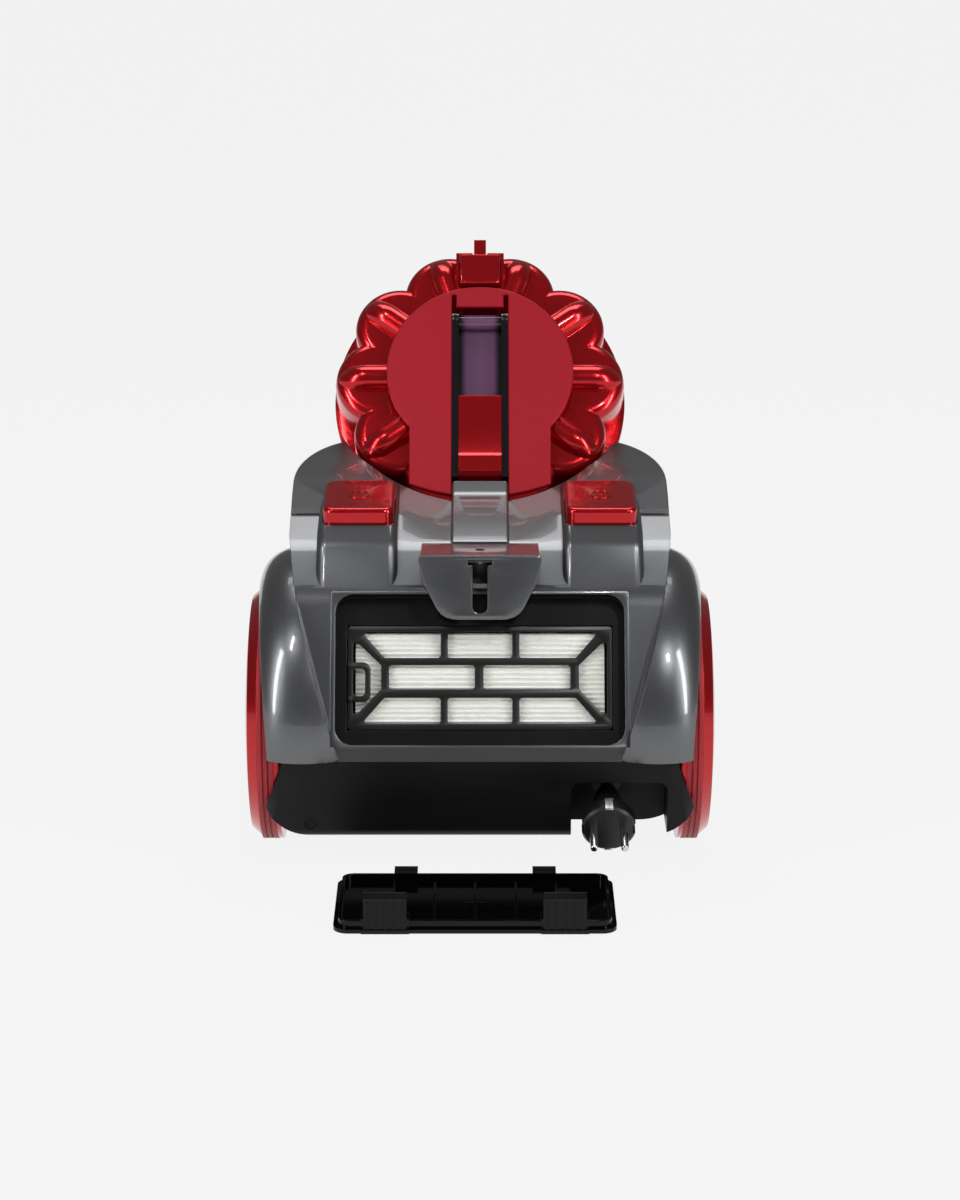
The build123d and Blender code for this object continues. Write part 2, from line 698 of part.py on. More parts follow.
def crown():
    """Red moulding over the cyclones: lobed skirt, finger tubes, drum, tongue and handle well."""
    skirt = Pos(0, 0, -crown_depth) * extrude(lobes(lobe_radius), amount=crown_depth - 13)
    skirt = fillet(skirt.faces().sort_by(Axis.Z)[-1].edges(), 8)
    body = skirt + rod_z(plate_radius - 2.5, -crown_depth, -plate_thickness)
    places = PolarLocations(0, lobe_count, start_angle=90 + 180 / lobe_count)
    bend = 12.0
    height = -4.0 - finger_radius
    path = FilletPolyline((45, 0, height), (finger_reach, 0, height), (finger_reach, 0, -crown_depth + 6), radius=bend)
    tube = sweep(Plane(origin=(45, 0, height), z_dir=(1, 0, 0)) * Circle(finger_radius), path=path)
    for place in places:
        body += place * tube
    tongue = Pos(0, -60) * Rectangle(2 * tongue_half_width - 4, 80) & Circle(rim_radius - 2.5)
    body += Pos(0, 0, -crown_depth) * extrude(tongue, amount=crown_depth - plate_thickness)
    boss = Pos(0, button_y, -19) * Box(button_width + 5, button_length + 7, 29)
    body += boss
    body += rod_z(rim_radius, container_top + 0.2, -crown_depth + 2)
    body += rod_z(spigot_radius, container_top - 6, container_top + 0.4)
    inner = lobes(lobe_radius - 3) + Circle(70)
    hollow = Pos(0, 0, container_top - 7) * extrude(inner & Circle(spigot_radius - 2.5), amount=37)
    body -= hollow
    well = Pos(0, (slot_front - 120) / 2, pocket_floor / 2) * Box(2 * slot_half + 0.4, slot_front + 120, -pocket_floor)
    body -= well
    body -= Pos(pivot_x_centre, pivot_y, pivot_z) * Rot(0, 90, 0) * Cylinder(handle_pin_radius, 2 * slot_half + 12)
    body -= Pos(0, button_y, -16) * Box(button_width + 0.8, button_length + 0.8, 24)
    body -= Pos(0, button_y + 14, -9) * Box(10, 12, 10)
    body -= Pos(0, rod_y_mid, -54) * Box(10, 6, 12)
    body -= Pos(0, -80, outlet_z) * Rot(90, 0, 0) * Cylinder(outlet_radius, 44)
    return body


pivot_x_centre = 0.0
outlet_z = -35.0
outlet_radius = 13.0


def plate_plan():
    """Keyhole: a disc with a wide tongue, slotted for the handle."""
    arc_centre = tongue_arc - tongue_end
    tongue = Pos(0, -60) * Rectangle(2 * tongue_half_width, 120) & Pos(0, arc_centre) * Circle(tongue_arc)
    plan = Circle(plate_radius) + tongue
    slot = Pos(0, (slot_front - 140) / 2) * Rectangle(2 * slot_half, slot_front + 140)
    plan -= slot
    cap_start = pivot_y + 8.0        # ahead of the rails' ends as they swing
    cap = Rectangle(handle_width, plate_radius + 2 - cap_start)
    cap = Pos(0, (plate_radius + 2 + cap_start) / 2) * cap & Circle(plate_radius)
    return plan + cap


def top_plate():
    plate = Pos(0, 0, -plate_thickness) * extrude(plate_plan(), amount=plate_thickness)
    rim = plate.faces().sort_by(Axis.Z)[-1].edges()
    return in_bin(chamfer(rim, 0.6))


def carry_handle():
    """Folding bail: two rails and a floor, pinned at the front end of its well."""
    end = -handle_slot_end + 3.0
    side = polygon((pivot_y, -14.5), (end, -14.5), (end, -0.6), (pivot_y, -0.6))
    side = side + Pos(pivot_y, (-14.5 - 0.6) / 2) * Circle(6.95)
    rail = slab_x(side, handle_width / 2 - 1.6, slot_half - 0.1)
    floor_end = pivot_y - 0.5        # short of what would scrape the well as it turns
    floor = Pos(0, (floor_end + end) / 2, -13.25) * Box(handle_width, floor_end - end, 2.5)
    body = rail + mirrored(rail) + floor
    bridge = Pos(0, pivot_y, pivot_z) * Rot(0, 90, 0) * Cylinder(5, handle_width)
    body += bridge
    return body - Pos(0, pivot_y, pivot_z) * Rot(0, 90, 0) * Cylinder(handle_pin_radius + running_gap, 80)


def handle_grip():
    """Red finger grip in the handle's free end, with a rolled lip."""
    end = -handle_slot_end + 3.3
    start = end + lip_length
    side = polygon((start, -11.8), (end, -11.8), (end, -3), (end + 4, 1.6), (end + 14, 1.6), (end + 17, 0), (start, 0))
    side = rounded(side, (end, -3, 3), (end + 4, 1.6, 3), (end + 14, 1.6, 3))
    block = slab_x(side, -handle_width / 2 + 1.7, handle_width / 2 - 1.7)
    return block


def handle_pin():
    return Pos(0, pivot_y, pivot_z) * Rot(0, 90, 0) * Cylinder(handle_pin_radius, 2 * slot_half + 10)


def release_button():
    """Push button that drives a flat rod down the front of the bin to the flap's catch."""
    cap = Pos(0, button_y, -3.0) * Box(button_width, button_length, 9)
    cap = fillet(cap.faces().sort_by(Axis.Z)[-1].edges(), 1.5)
    arm = Pos(0, (button_y + rod_y_mid) / 2 + 1, -5.5) * Box(8, rod_y_mid - button_y + 4, 3)
    rod = Pos(0, rod_y_mid + 1.6, (-4 - bin_length + 9) / 2) * Box(8, 2.5, bin_length - 13)
    return cap + arm + rod


def dust_container():
    """Clear smoky tube with a rolled lower rim, hinge lugs and guides for the release rod."""
    body = rod_z(container_radius, -bin_length, container_top)
    body += rod_z(container_radius + 2, -bin_length, -bin_length + 4)
    body += rod_z(container_radius + 2, container_top - 5, container_top - 0.0)
    for s in (-1, 1):
        body += Pos(s * 15.5, -(container_radius + 3.0), -bin_length - 1) * Box(7, 9, 14)
        for z in (-80, -120, -160):
            body += Pos(s * 6.5, container_radius + 2, z) * Box(4, 10, 8)
    body -= rod_z(container_radius - container_wall, -bin_length - 1, container_top + 1)
    body -= Pos(0, 0, -bin_length - 10) * Cylinder(container_radius - container_wall, 20)
    body -= hinge_bore(1.6, 60)
    return body


def hinge_bore(radius, length):
    return Pos(0, hinge_y, hinge_z) * Rot(0, 90, 0) * Cylinder(radius, length)


def container_seal():
    return ring_z(spigot_radius - 0.0, spigot_radius - 3, container_top - 9, container_top - 6.2)


def cyclone_cones():
    """Ring of small cyclones hanging from one plate below the crown."""
    plate_z = container_top - 6.3
    plate = rod_z(spigot_radius - 3.3, plate_z - 3, plate_z)
    profile = polygon((0, 0), (16, 0), (16, -14), (6, -62), (0, -62))
    cone = revolve(Plane.XZ * profile, axis=Axis.Z)
    bore = revolve(Plane.XZ * polygon((0, 1), (14, 1), (14, -14), (4, -63), (0, -63)), axis=Axis.Z)
    places = PolarLocations(58, lobe_count, start_angle=90 + 180 / lobe_count)
    body = plate
    for place in places:
        body += place * Pos(0, 0, plate_z - 1) * cone
    for place in places:
        body -= place * Pos(0, 0, plate_z - 1) * bore
    return body - rod_z(30, plate_z - 4, plate_z + 1)


def shroud():
    """Slotted inner sleeve with a flared skirt that keeps coarse dirt down."""
    top = container_top - 6.3 - 3.0
    sleeve = revolve(Plane.XZ * polygon((30, top), (34, top), (34, top - 78), (56, top - 92), (55, top - 94),
                                         (32, top - 80), (32, top - 3), (30, top - 3)), axis=Axis.Z)
    cut = Pos(33, 0, top - 42) * Box(10, 5, 62)
    for place in PolarLocations(0, 14):
        sleeve -= place * cut
    return sleeve + rod_z(32.5, top - 78, top - 75)


def base_flap():
    """Domed lid on the bin's lower end; it drops open about the pin under the bin."""
    rim = container_radius + 2
    low = -bin_length - 0.4
    dome = polygon((0, low), (rim, low), (rim, low - 3), (rim - 12, low - 7), (0, low - 9))
    dome = rounded(dome, (rim - 12, low - 7, 12))
    body = revolve(Plane.XZ * dome, axis=Axis.Z)
    body -= revolve(Plane.XZ * polygon((0, low + 1), (rim - 14, low + 1), (rim - 16, low - 3), (0, low - 5)), axis=Axis.Z)
    for s in (-1, 1):
        body -= Pos(s * 15.5, -rim - 1, low - 5) * Box(8.2, 14, 20)
    knuckle = hinge_bore(3.7, 22.4) + Pos(0, hinge_y + 4, hinge_z) * Box(22.4, 9, 5)
    body += knuckle
    body -= hinge_bore(1.6 + running_gap, 60)
    return body + Pos(0, rim + 1, low - 1.5) * Box(18, 6, 3)


def flap_pin():
    return hinge_bore(1.6, 37)


def flap_seal():
    return ring_z(container_radius - container_wall - 0.6, container_radius - container_wall - 4,
                  -bin_length - 0.4, -bin_length + 2.5)


# ---- air path and motor ---------------------------------------------------------------------
duct_clear = 2.2             # under the room for the flap's hinge
motor_z = -42.0              # along the bin's axis
fan_radius = 50.0
can_radius = 42.0


def hose_socket():
    """Ring at the nose that the hose end plugs into, with a flange held between the casings."""
    y0 = socket_seat_y - 4
    body = rod_y(socket_radius, socket_seat_y + seat_gap, nose_front + 3, 0, hose_axis_z)
    body += rod_y(hose_bore + 4, y0, socket_seat_y + 10, 0, hose_axis_z)
    body = body - rod_y(hose_bore, y0 - 1, nose_front + 4, 0, hose_axis_z)
    lead = Cone(hose_bore + 2.5, hose_bore, 2.5, align=(Align.CENTER, Align.CENTER, Align.MIN))
    lead = Pos(0, nose_front + 3, hose_axis_z) * Rot(90, 0, 0) * lead
    return body - lead


def inlet_duct():
    """Elbow from the hose socket up to the port in the bin's underside."""
    bore = hose_bore - hose_stop
    outer = bore + duct_wall
    start = (0, socket_seat_y - 4 - 0.1, hose_axis_z)
    low = hinge_room_z - outer - duct_clear
    path = FilletPolyline(start, (0, 268, hose_axis_z), (0, 228, low), (0, duct_y, low), (0, duct_y, 160),
                          radius=[60, 60, outer + 4])
    profile = Plane(origin=start, z_dir=(0, -1, 0))
    body = sweep(profile * Circle(outer), path=path)
    body -= sweep(profile * Circle(bore), path=path)
    body -= rod_z(bore, 140, 170, 0, duct_y)
    return body - cradle(wall + 0.1)


def inlet_seal():
    outer = rod_z(hose_bore + 7, 90, 170, 0, duct_y)
    shell = in_bin(rod_z(cradle_radius, -bin_length, 0) - rod_z(container_radius + seat_gap, -bin_length - 1, 1))
    return (outer & shell) - rod_z(hose_bore, 80, 180, 0, duct_y)


def outlet_seal():
    shell = rod_z(cradle_radius, outlet_z - 30, outlet_z + 30) - rod_z(rim_radius - 2.2, -90, 20)
    tube = Pos(0, -100, outlet_z) * Rot(90, 0, 0) * (Cylinder(outlet_radius + 8, 60) - Cylinder(outlet_radius, 62))
    low = -crown_depth + 2 + seat_gap
    lower = Pos(0, -100, low + 40) * Box(90, 80, 80)
    return in_bin(shell & tube & lower)


def along_motor(radius, near_m, far_m):
    """A cylinder on the motor's axis between two distances below the bin's axis."""
    return Pos(0, -(near_m + far_m) / 2, motor_z) * Rot(90, 0, 0) * Cylinder(radius, far_m - near_m)


def foam_cup():
    """Cup under the outlet port that holds the pre-motor foam and locates the fan housing."""
    m0 = cradle_radius + wall
    cup = along_motor(40, m0 - 6, m0 + 17) - along_motor(37.5, m0 + 1, m0 + 20)
    cup -= Pos(0, -(m0 - 3), outlet_z) * Rot(90, 0, 0) * Cylinder(outlet_radius, 30)
    return in_bin(cup) - cradle(wall)


def motor_foam():
    m0 = cradle_radius + wall
    return in_bin(along_motor(37.2, m0 + 3, m0 + 15))


def motor_gasket():
    m0 = cradle_radius + wall + 17
    return in_bin(along_motor(42, m0, m0 + 3) - along_motor(34, m0 - 1, m0 + 4))


def fan_housing():
    m0 = cradle_radius + wall + 20
    body = along_motor(fan_radius, m0, m0 + 30) - along_motor(fan_radius - 2, m0 + 2, m0 + 28)
    body -= along_motor(20, m0 - 1, m0 + 10)
    body -= along_motor(6, m0 + 20, m0 + 40)
    for k in range(8):
        port = Pos(fan_radius - 8, 0, 0) * Box(9, 9, 9)
        body -= Pos(0, -(m0 + 29), motor_z) * Rot(90, 0, 0) * Rot(0, 0, 45 * k) * port
    return in_bin(body)


def motor_can():
    m0 = cradle_radius + wall + 50
    body = along_motor(can_radius - 10, m0, m0 + 34) - along_motor(6, m0 - 1, m0 + 28)
    body += along_motor(14, m0 + 33, m0 + 42)
    for k in range(6):
        rib = Pos(can_radius - 11, 0, 0) * Box(6, 4, 30)
        body += Pos(0, -(m0 + 15), motor_z) * Rot(90, 0, 0) * Rot(0, 0, 60 * k) * rib
    return in_bin(body)


def impeller():
    """Fan wheel and shaft, turning on the motor's axis."""
    m0 = cradle_radius + wall + 20
    shaft = along_motor(4, m0 + 5, m0 + 56)
    back = along_motor(fan_radius - 5, m0 + 19, m0 + 21)
    front = along_motor(fan_radius - 5, m0 + 7, m0 + 8.5) - along_motor(19, m0 + 6, m0 + 10)
    body = shaft + back + front + along_motor(8, m0 + 6, m0 + 21)
    for k in range(7):
        blade = Pos(26, 0, 0) * Rot(0, 0, 35) * Box(32, 1.6, 11.4)
        body += Pos(0, -(m0 + 13.7), motor_z) * Rot(90, 0, 0) * Rot(0, 0, 360 / 7 * k) * blade
    return in_bin(body)


def shaft_bearings():
    m0 = cradle_radius + wall + 50
    ring = along_motor(6, m0 + 1, m0 + 5) - along_motor(4 + running_gap, m0, m0 + 6)
    return in_bin(ring)


motor_end = cradle_radius + wall + 92


def rear_mount():
    """Rubber boot on the motor's tail."""
    return in_bin(along_motor(18, motor_end - 7, motor_end + 4) - along_motor(14, motor_end - 8, motor_end))


def motor_stand():
    """Ribbed pedestal on the chassis floor with a socket for the rubber boot."""
    centre = bin_point(0, -motor_end, motor_z)
    floor = chassis_bottom + wall
    side = polygon((centre.Y - 34, floor), (centre.Y + 20, floor), (centre.Y + 26, centre.Z - 12),
                   (centre.Y - 8, centre.Z + 14), (centre.Y - 26, centre.Z - 2))
    body = slab_x(side, -24, 24) - slab_x(side, -30, -4) - slab_x(side, 4, 30)
    for x in (-22.5, 22.5):
        body += slab_x(side, x - 1.5, x + 1.5)
    body += slab_x(side, -24, 24) & in_bin(along_motor(24, motor_end - 10, motor_end + 8))
    body -= in_bin(along_motor(18, motor_end - 30, motor_end + 4))
    return body


# ---- mains lead ----------------------------------------------------------------------------
reel_low_x = 58.0
reel_high_x = 102.0
reel_radius = 62.0
winding_radius = 51.0
reel_y = 45.0
reel_z = cord_z + winding_radius + cord_radius + seat_gap


def reel_drum():
    hub = rod_x(30, reel_low_x, reel_high_x, reel_y, reel_z)
    hub += rod_x(reel_radius, reel_low_x, reel_low_x + 2, reel_y, reel_z)
    hub += rod_x(reel_radius, reel_high_x - 2, reel_high_x, reel_y, reel_z)
    hub -= rod_x(25, reel_low_x + 4, reel_high_x + 1, reel_y, reel_z)
    hub += rod_x(10, reel_low_x, reel_high_x - 2, reel_y, reel_z)
    for k in range(6):
        window = Pos(reel_high_x - 1, reel_y, reel_z) * Rot(60 * k, 0, 0) * Pos(0, 0, 45) * Box(6, 16, 16)
        hub -= window
    return hub - rod_x(6 + running_gap, reel_low_x - 1, reel_high_x + 1, reel_y, reel_z)


def cord_winding():
    """The wound lead, plain: the layers between the reel's flanges."""
    ring = rod_x(winding_radius, reel_low_x + 2.2, reel_high_x - 2.2, reel_y, reel_z)
    return ring - rod_x(30.2, reel_low_x, reel_high_x, reel_y, reel_z)


def reel_bracket():
    """Upright plate and pin that carry the reel."""
    floor = chassis_bottom + wall
    x = reel_low_x - 1.0
    side = polygon((reel_y - 36, floor), (reel_y + 36, floor), (reel_y + 15, reel_z), (reel_y - 15, reel_z))
    side = side + Pos(reel_y, reel_z) * Circle(15)
    plate = slab_x(side, x - 3, x)
    foot = Pos(x - 8, reel_y, floor + 1.5) * Box(16, 72, 3)
    return plate + foot + rod_x(6, x - 1, reel_high_x - 1, reel_y, reel_z)


def cord_bush():
    ring = rod_y(bush_radius, recess_depth_y + 0.0, recess_depth_y + wall, cord_x, cord_z)
    ring += rod_y(bush_radius + 3, recess_depth_y - 1.5, recess_depth_y, cord_x, cord_z)
    ring += rod_y(bush_radius + 2, recess_depth_y + wall, recess_depth_y + wall + 1.5, cord_x, cord_z)
    return ring - rod_y(cord_radius + running_gap, recess_depth_y - 3, recess_depth_y + 10, cord_x, cord_z)


plug_face_y = -98.0
plug_face_z = 36.0
plug_body_length = 38.0
droop_c = math.cos(math.radians(plug_droop))
droop_s = math.sin(math.radians(plug_droop))
plug_frame = Plane(origin=(cord_x, plug_face_y, plug_face_z), x_dir=(1, 0, 0), z_dir=(0, -droop_c, -droop_s))


def plug_body():
    """Round earthed plug: face disc, finger waist and tapered strain relief."""
    r = plug_radius
    profile = make_face(Curve() + [
        Polyline((0, 0), (r - 1.5, 0), (r, -1.5), (r, -9), (r - 2, -13)),
        ThreePointArc((r - 2, -13), (r - 7, -20), (9, -27)),
        Polyline((9, -27), (6, -plug_body_length), (0, -plug_body_length), (0, 0)),
    ])
    body = revolve(Plane.XZ * profile, axis=Axis.Z)
    for s in (-1, 1):
        body -= Pos(s * (r + 1), 0, 0) * Box(6, 7, 40)
        body -= Pos(0, s * (r + 0.5), 0) * Box(6, 5, 30)
        body -= Pos(s * pin_spacing / 2, 0, -5) * Cylinder(pin_radius - 0.4, 10)
    return plug_frame.location * body


def plug_pins():
    pins = []
    for s in (-1, 1):
        x = s * pin_spacing / 2
        shank = rod_z(pin_radius, 0, pin_length, x)
        shank = fillet(shank.faces().sort_by(Axis.Z)[-1].edges(), 1.2)
        pins.append(plug_frame.location * (shank + rod_z(pin_radius - 0.4, -9.9, 0.5, x)))
    return Compound(children=pins)


def earth_clips():
    clips = []
    for s in (-1, 1):
        strip = Pos(0, s * (plug_radius - 1.0), -5.5) * Box(5, 1.6, 10)
        clips.append(plug_frame.location * strip)
    return Compound(children=clips)


def cord_lead():
    """Straight of the lead through the bush, running up to the plug and in to the reel."""
    tail = plug_frame.from_local_coords((0, 0, -plug_body_length + 0.0))
    back = plug_frame.from_local_coords((0, 0, -plug_body_length - 9))
    level_y = recess_depth_y - 3.0
    path = FilletPolyline((cord_x, tail.Y, tail.Z), (cord_x, back.Y, cord_z), (cord_x, reel_y, cord_z), radius=24)
    profile = Plane(origin=(cord_x, tail.Y, tail.Z), z_dir=path % 0)
    return sweep(profile * Circle(cord_radius), path=path)


def power_switch():
    """Rocker switch body under the power pedal's pod."""
    below = -pedal_skirt - spring_room - wall
    return mirrored(pedal_seat_frame().location * Pos(0, pedal_length / 2 + 2.5, below - 7) * Box(20, 28, 14))


# ---- exhaust filter and its cover --------------------------------------------------------------
def filter_frame():
    """Cassette: shallow tray with a lattice of bars over the medium and a pull tab."""
    w = filter_width
    h = filter_height
    t = filter_thickness
    body = Box(w, h, t)
    body -= Box(w - 10, h - 8, t + 2)
    lattice = Pos(0, 10) * Rectangle(118, bar_width) + Pos(0, -10) * Rectangle(118, bar_width)
    for x in (-58, 58):
        lattice += Pos(x, 0) * Rectangle(bar_width, 22)
    for x, y in ((-22.5, 20), (22.5, 20), (0, 0), (-22.5, -20), (22.5, -20)):
        lattice += Pos(x, y) * Rectangle(bar_width, 20)
    for sx in (-1, 1):
        for sy in (-1, 1):
            bar = Rectangle(30, bar_width)
            lattice += Pos(sx * 68, sy * 19.5) * Rot(0, 0, sx * sy * 44) * bar
    lattice = lattice & Rectangle(w - 8, h - 6)
    tab = Pos(-75, -1) * (SlotOverall(24, 17, rotation=0) - SlotOverall(17, 10.5)) & Pos(-70, 0) * Rectangle(24, 30)
    body += Pos(0, 0, t / 2 - 2) * extrude(lattice, amount=2)
    body += Pos(0, 0, t / 2 - 2) * extrude(tab & Rectangle(w - 8, h), amount=3.5)
    return in_bay(Pos(0, filter_offset, -filter_recess - t / 2) * body)


def filter_medium():
    """Pleated paper pack behind the lattice."""
    w = filter_width - 10
    h = filter_height - 8
    count = int(h / pleat_pitch)
    pitch = h / count
    front = filter_thickness - 4.4
    points = [(-h / 2, 0)]
    for k in range(count):
        points.append((-h / 2 + k * pitch, front - 2.2))
        points.append((-h / 2 + (k + 0.5) * pitch, front))
    points.append((h / 2, front - 2.2))
    points.append((h / 2, 0))
    pack = slab_x(polygon(*points), -w / 2 + 0.01, w / 2 - 0.01)
    return in_bay(Pos(0, filter_offset, -filter_recess - filter_thickness + 2) * pack)


def filter_cover():
    """Cover lying inner side up: dished plate, rim, two hooks on one edge and two spring latches."""
    w = cover_width
    d = cover_depth
    mid_y = cover_edge_y - d / 2
    plate = extrude(fillet(Rectangle(w, d).vertices(), 9), amount=2.5)
    rim = fillet(Rectangle(w - 6, d - 6).vertices(), 7) - fillet(Rectangle(w - 10, d - 10).vertices(), 5)
    body = plate + extrude(rim, amount=7)
    for s in (-1, 1):
        hook = Pos(s * 43, d / 2 - 4, 5) * Box(14.5, 9, 8)
        hook += Pos(s * 43, d / 2 + 0.5, 8) * Box(14.5, 6, 2.5)
        body += hook
        x = s * 54
        body += Pos(x, -d / 2 + 5, 5) * Box(29, 12, 9)
        side = polygon((-d / 2 - 3.0, 1.2), (-d / 2 - 0.5, 1.2), (-d / 2 + 1, 24), (-d / 2 - 1, 27), (-d / 2 - 5.5, 24.5),
                       (-d / 2 - 5.5, 22.5), (-d / 2 - 2, 22.5))
        spring_leg = slab_x(side, x - 13, x + 13)
        for k in (-1, 0, 1):
            spring_leg += Pos(x + 6.5 * k, -d / 2 + 4, 11) * Box(1.6, 9, 18)
        body += spring_leg
        body += Pos(x, -d / 2 - 1, 2.5) * Box(29, 6, 2.6)
    for k in range(5):
        body += Pos(-50 + 25 * k, 0, 3.2) * Box(1.5, d - 10, 2.5)
    return Pos(cover_x, mid_y, 0) * body


# ---- assembly ------------------------------------------------------------------------------
nodes = {
    "lower_chassis": lower_chassis(),
    "upper_housing": upper_housing(),
    "filter_bay": filter_bay(),
    "spine_strip": spine_strip(),
    "parking_bracket": parking_bracket(),
    "casing_screws": casing_screws(),
    "stub_axles": stub_axles(),
    "hose_socket": hose_socket(),
    "inlet_duct": inlet_duct(),
    "inlet_seal": inlet_seal(),
    "outlet_seal": outlet_seal(),
    "foam_cup": foam_cup(),
    "motor_foam": motor_foam(),
    "motor_gasket": motor_gasket(),
    "fan_housing": fan_housing(),
    "motor_can": motor_can(),
    "shaft_bearings": shaft_bearings(),
    "impeller": impeller(),
    "rear_mount": rear_mount(),
    "motor_stand": motor_stand(),
    "reel_bracket": reel_bracket(),
    "reel_drum": reel_drum(),
    "cord_winding": cord_winding(),
    "cord_bush": cord_bush(),
    "cord_lead": cord_lead(),
    "plug_body": plug_body(),
    "plug_pins": plug_pins(),
    "earth_clips": earth_clips(),
    "power_switch": power_switch(),
    "power_pedal": pedal(-1),
    "rewind_pedal": pedal(1),
    "power_pedal_spring": pedal_spring(-1),
    "rewind_pedal_spring": pedal_spring(1),
    "wheel_left": wheel(-1),
    "wheel_right": wheel(1),
    "tyre_left": tyre(-1),
    "tyre_right": tyre(1),
    "caster_fork": caster_fork(),
    "caster_wheel": caster_wheel(),
    "caster_axle": caster_axle(),
    "cyclone_crown": in_bin(crown()),
    "top_plate": top_plate(),
    "carry_handle": in_bin(carry_handle()),
    "handle_grip": in_bin(handle_grip()),
    "handle_pin": in_bin(handle_pin()),
    "release_button": in_bin(release_button()),
    "button_spring": in_bin(Pos(0, button_y, -27.7) * coil_spring(6, 1.2, 19.9, 5)),
    "dust_container": in_bin(dust_container()) - rod_z(hose_bore, 60, 170, 0, duct_y),
    "container_seal": in_bin(container_seal()),
    "cyclone_cones": in_bin(cyclone_cones()),
    "shroud": in_bin(shroud()),
    "base_flap": in_bin(base_flap()),
    "flap_pin": in_bin(flap_pin()),
    "flap_seal": in_bin(flap_seal()),
    "filter_frame": filter_frame(),
    "filter_medium": filter_medium(),
    "filter_cover": filter_cover(),
}

# The origin is on the floor, under the middle of everything that stands there.
ends = [node.bounding_box() for node in nodes.values()]
origin_y = (min(box.min.Y for box in ends) + max(box.max.Y for box in ends)) / 2

if __name__ == "__main__":
    os.makedirs("parts", exist_ok=True)
    for name, node in nodes.items():
        export_step(Pos(0, -origin_y, 0) * node, f"parts/{name}.step")
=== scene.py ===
"""Bagless canister vacuum cleaner seen from behind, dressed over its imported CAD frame.

The sections follow the object's assembly: camera and studio, lower casing, upper casing, rolling gear,
controls, dust bin, exhaust filter and its cover, mains plug, and the parts inside.
Sizes are metres, but the flat mouldings are drawn in millimetres."""

import math

import bpy
from mathutils import Matrix, Vector


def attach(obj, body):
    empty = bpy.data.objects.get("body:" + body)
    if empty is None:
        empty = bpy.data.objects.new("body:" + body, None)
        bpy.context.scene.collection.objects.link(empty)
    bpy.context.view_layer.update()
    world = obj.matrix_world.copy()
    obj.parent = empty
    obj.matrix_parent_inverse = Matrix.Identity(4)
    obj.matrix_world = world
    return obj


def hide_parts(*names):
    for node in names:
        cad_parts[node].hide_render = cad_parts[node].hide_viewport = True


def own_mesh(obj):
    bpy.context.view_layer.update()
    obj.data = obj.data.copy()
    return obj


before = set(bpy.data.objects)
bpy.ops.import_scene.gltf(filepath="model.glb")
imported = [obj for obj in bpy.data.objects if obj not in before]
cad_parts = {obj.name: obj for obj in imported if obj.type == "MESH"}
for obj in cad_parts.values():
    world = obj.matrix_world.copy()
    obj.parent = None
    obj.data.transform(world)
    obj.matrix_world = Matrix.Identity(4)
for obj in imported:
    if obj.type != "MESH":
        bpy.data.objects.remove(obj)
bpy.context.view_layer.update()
bpy.ops.object.select_all(action="DESELECT")

# ---- camera and studio ----------------------------------------------------------------------
# A long lens looks down at the cleaner's back by sixteen degrees. Two tall side softboxes draw the
# bright streaks down the lacquered flanks, a broad one overhead fills the top, and the floor is pale.
eye = (0.0, -2.1313, 0.7455)
looked_at = Vector((0.0, -0.0165, 0.13906))
bpy.ops.object.camera_add(location=eye)
camera = bpy.context.object
camera.name = "photo_camera"
camera.data.lens = 100.3
camera.data.sensor_width = 36.0
camera.data.clip_end = 50.0
aim = looked_at - camera.location
camera.rotation_euler = aim.to_track_quat("-Z", "Y").to_euler()
bpy.context.scene.camera = camera
bpy.context.scene.view_settings.view_transform = "Standard"


def softbox(name, place, target, size, watts):
    """A rectangular lamp that faces the target point."""
    bpy.ops.object.light_add(type="AREA", location=place)
    lamp = bpy.context.object
    lamp.name = name
    lamp.data.shape = "RECTANGLE"
    lamp.data.size = size[0]
    lamp.data.size_y = size[1]
    lamp.data.energy = watts
    lamp.rotation_euler = (Vector(target) - lamp.location).to_track_quat("-Z", "Y").to_euler()


softbox("overhead_softbox", (0.0, 0.45, 1.8), (0, 0.02, 0.15), (1.1, 0.5), 9.0)
softbox("left_strip", (-1.25, -0.95, 0.75), (0, 0.0, 0.15), (0.2, 1.2), 12.0)
softbox("right_strip", (1.25, -0.95, 0.75), (0, 0.0, 0.15), (0.2, 1.2), 12.0)
softbox("key_box", (0.75, -1.5, 1.75), (0, 0.0, 0.2), (0.2, 0.2), 11.0)
softbox("rim_box", (-0.7, -1.1, 1.9), (0, 0.0, 0.2), (0.14, 0.4), 6.0)
softbox("back_strip", (0.0, 1.0, 2.0), (0, 0.0, 0.2), (1.8, 0.3), 4.5)


def linear(hex_colour):
    """An sRGB hex colour as linear RGBA."""
    parts = [int(hex_colour[i:i + 2], 16) / 255 for i in (1, 3, 5)]
    return tuple(p / 12.92 if p <= 0.04045 else ((p + 0.055) / 1.055) ** 2.4 for p in parts) + (1.0,)


def put(material, kind, settings=None, links=None):
    """Add one node to a material: settings are properties or socket values, links are socket to source."""
    made = material.node_tree.nodes.new(kind)
    for key, value in (settings or {}).items():
        if isinstance(key, str) and key in made.bl_rna.properties and key not in made.inputs:
            setattr(made, key, value)
        else:
            made.inputs[key].default_value = value
    for key, source in (links or {}).items():
        material.node_tree.links.new(source, made.inputs[key])
    return made


def blank(name):
    """A new node material, without any nodes yet."""
    material = bpy.data.materials.new(name)
    material.use_nodes = True
    material.node_tree.nodes.clear()
    return material


def ray_is(material, *kinds):
    """One where the ray is of any of the named kinds, else nought."""
    rays = put(material, "ShaderNodeLightPath").outputs
    found = rays[kinds[0]]
    for kind in kinds[1:]:
        found = put(material, "ShaderNodeMath", {"operation": "MAXIMUM"},
                    {0: found, 1: rays[kind]}).outputs[0]
    return found


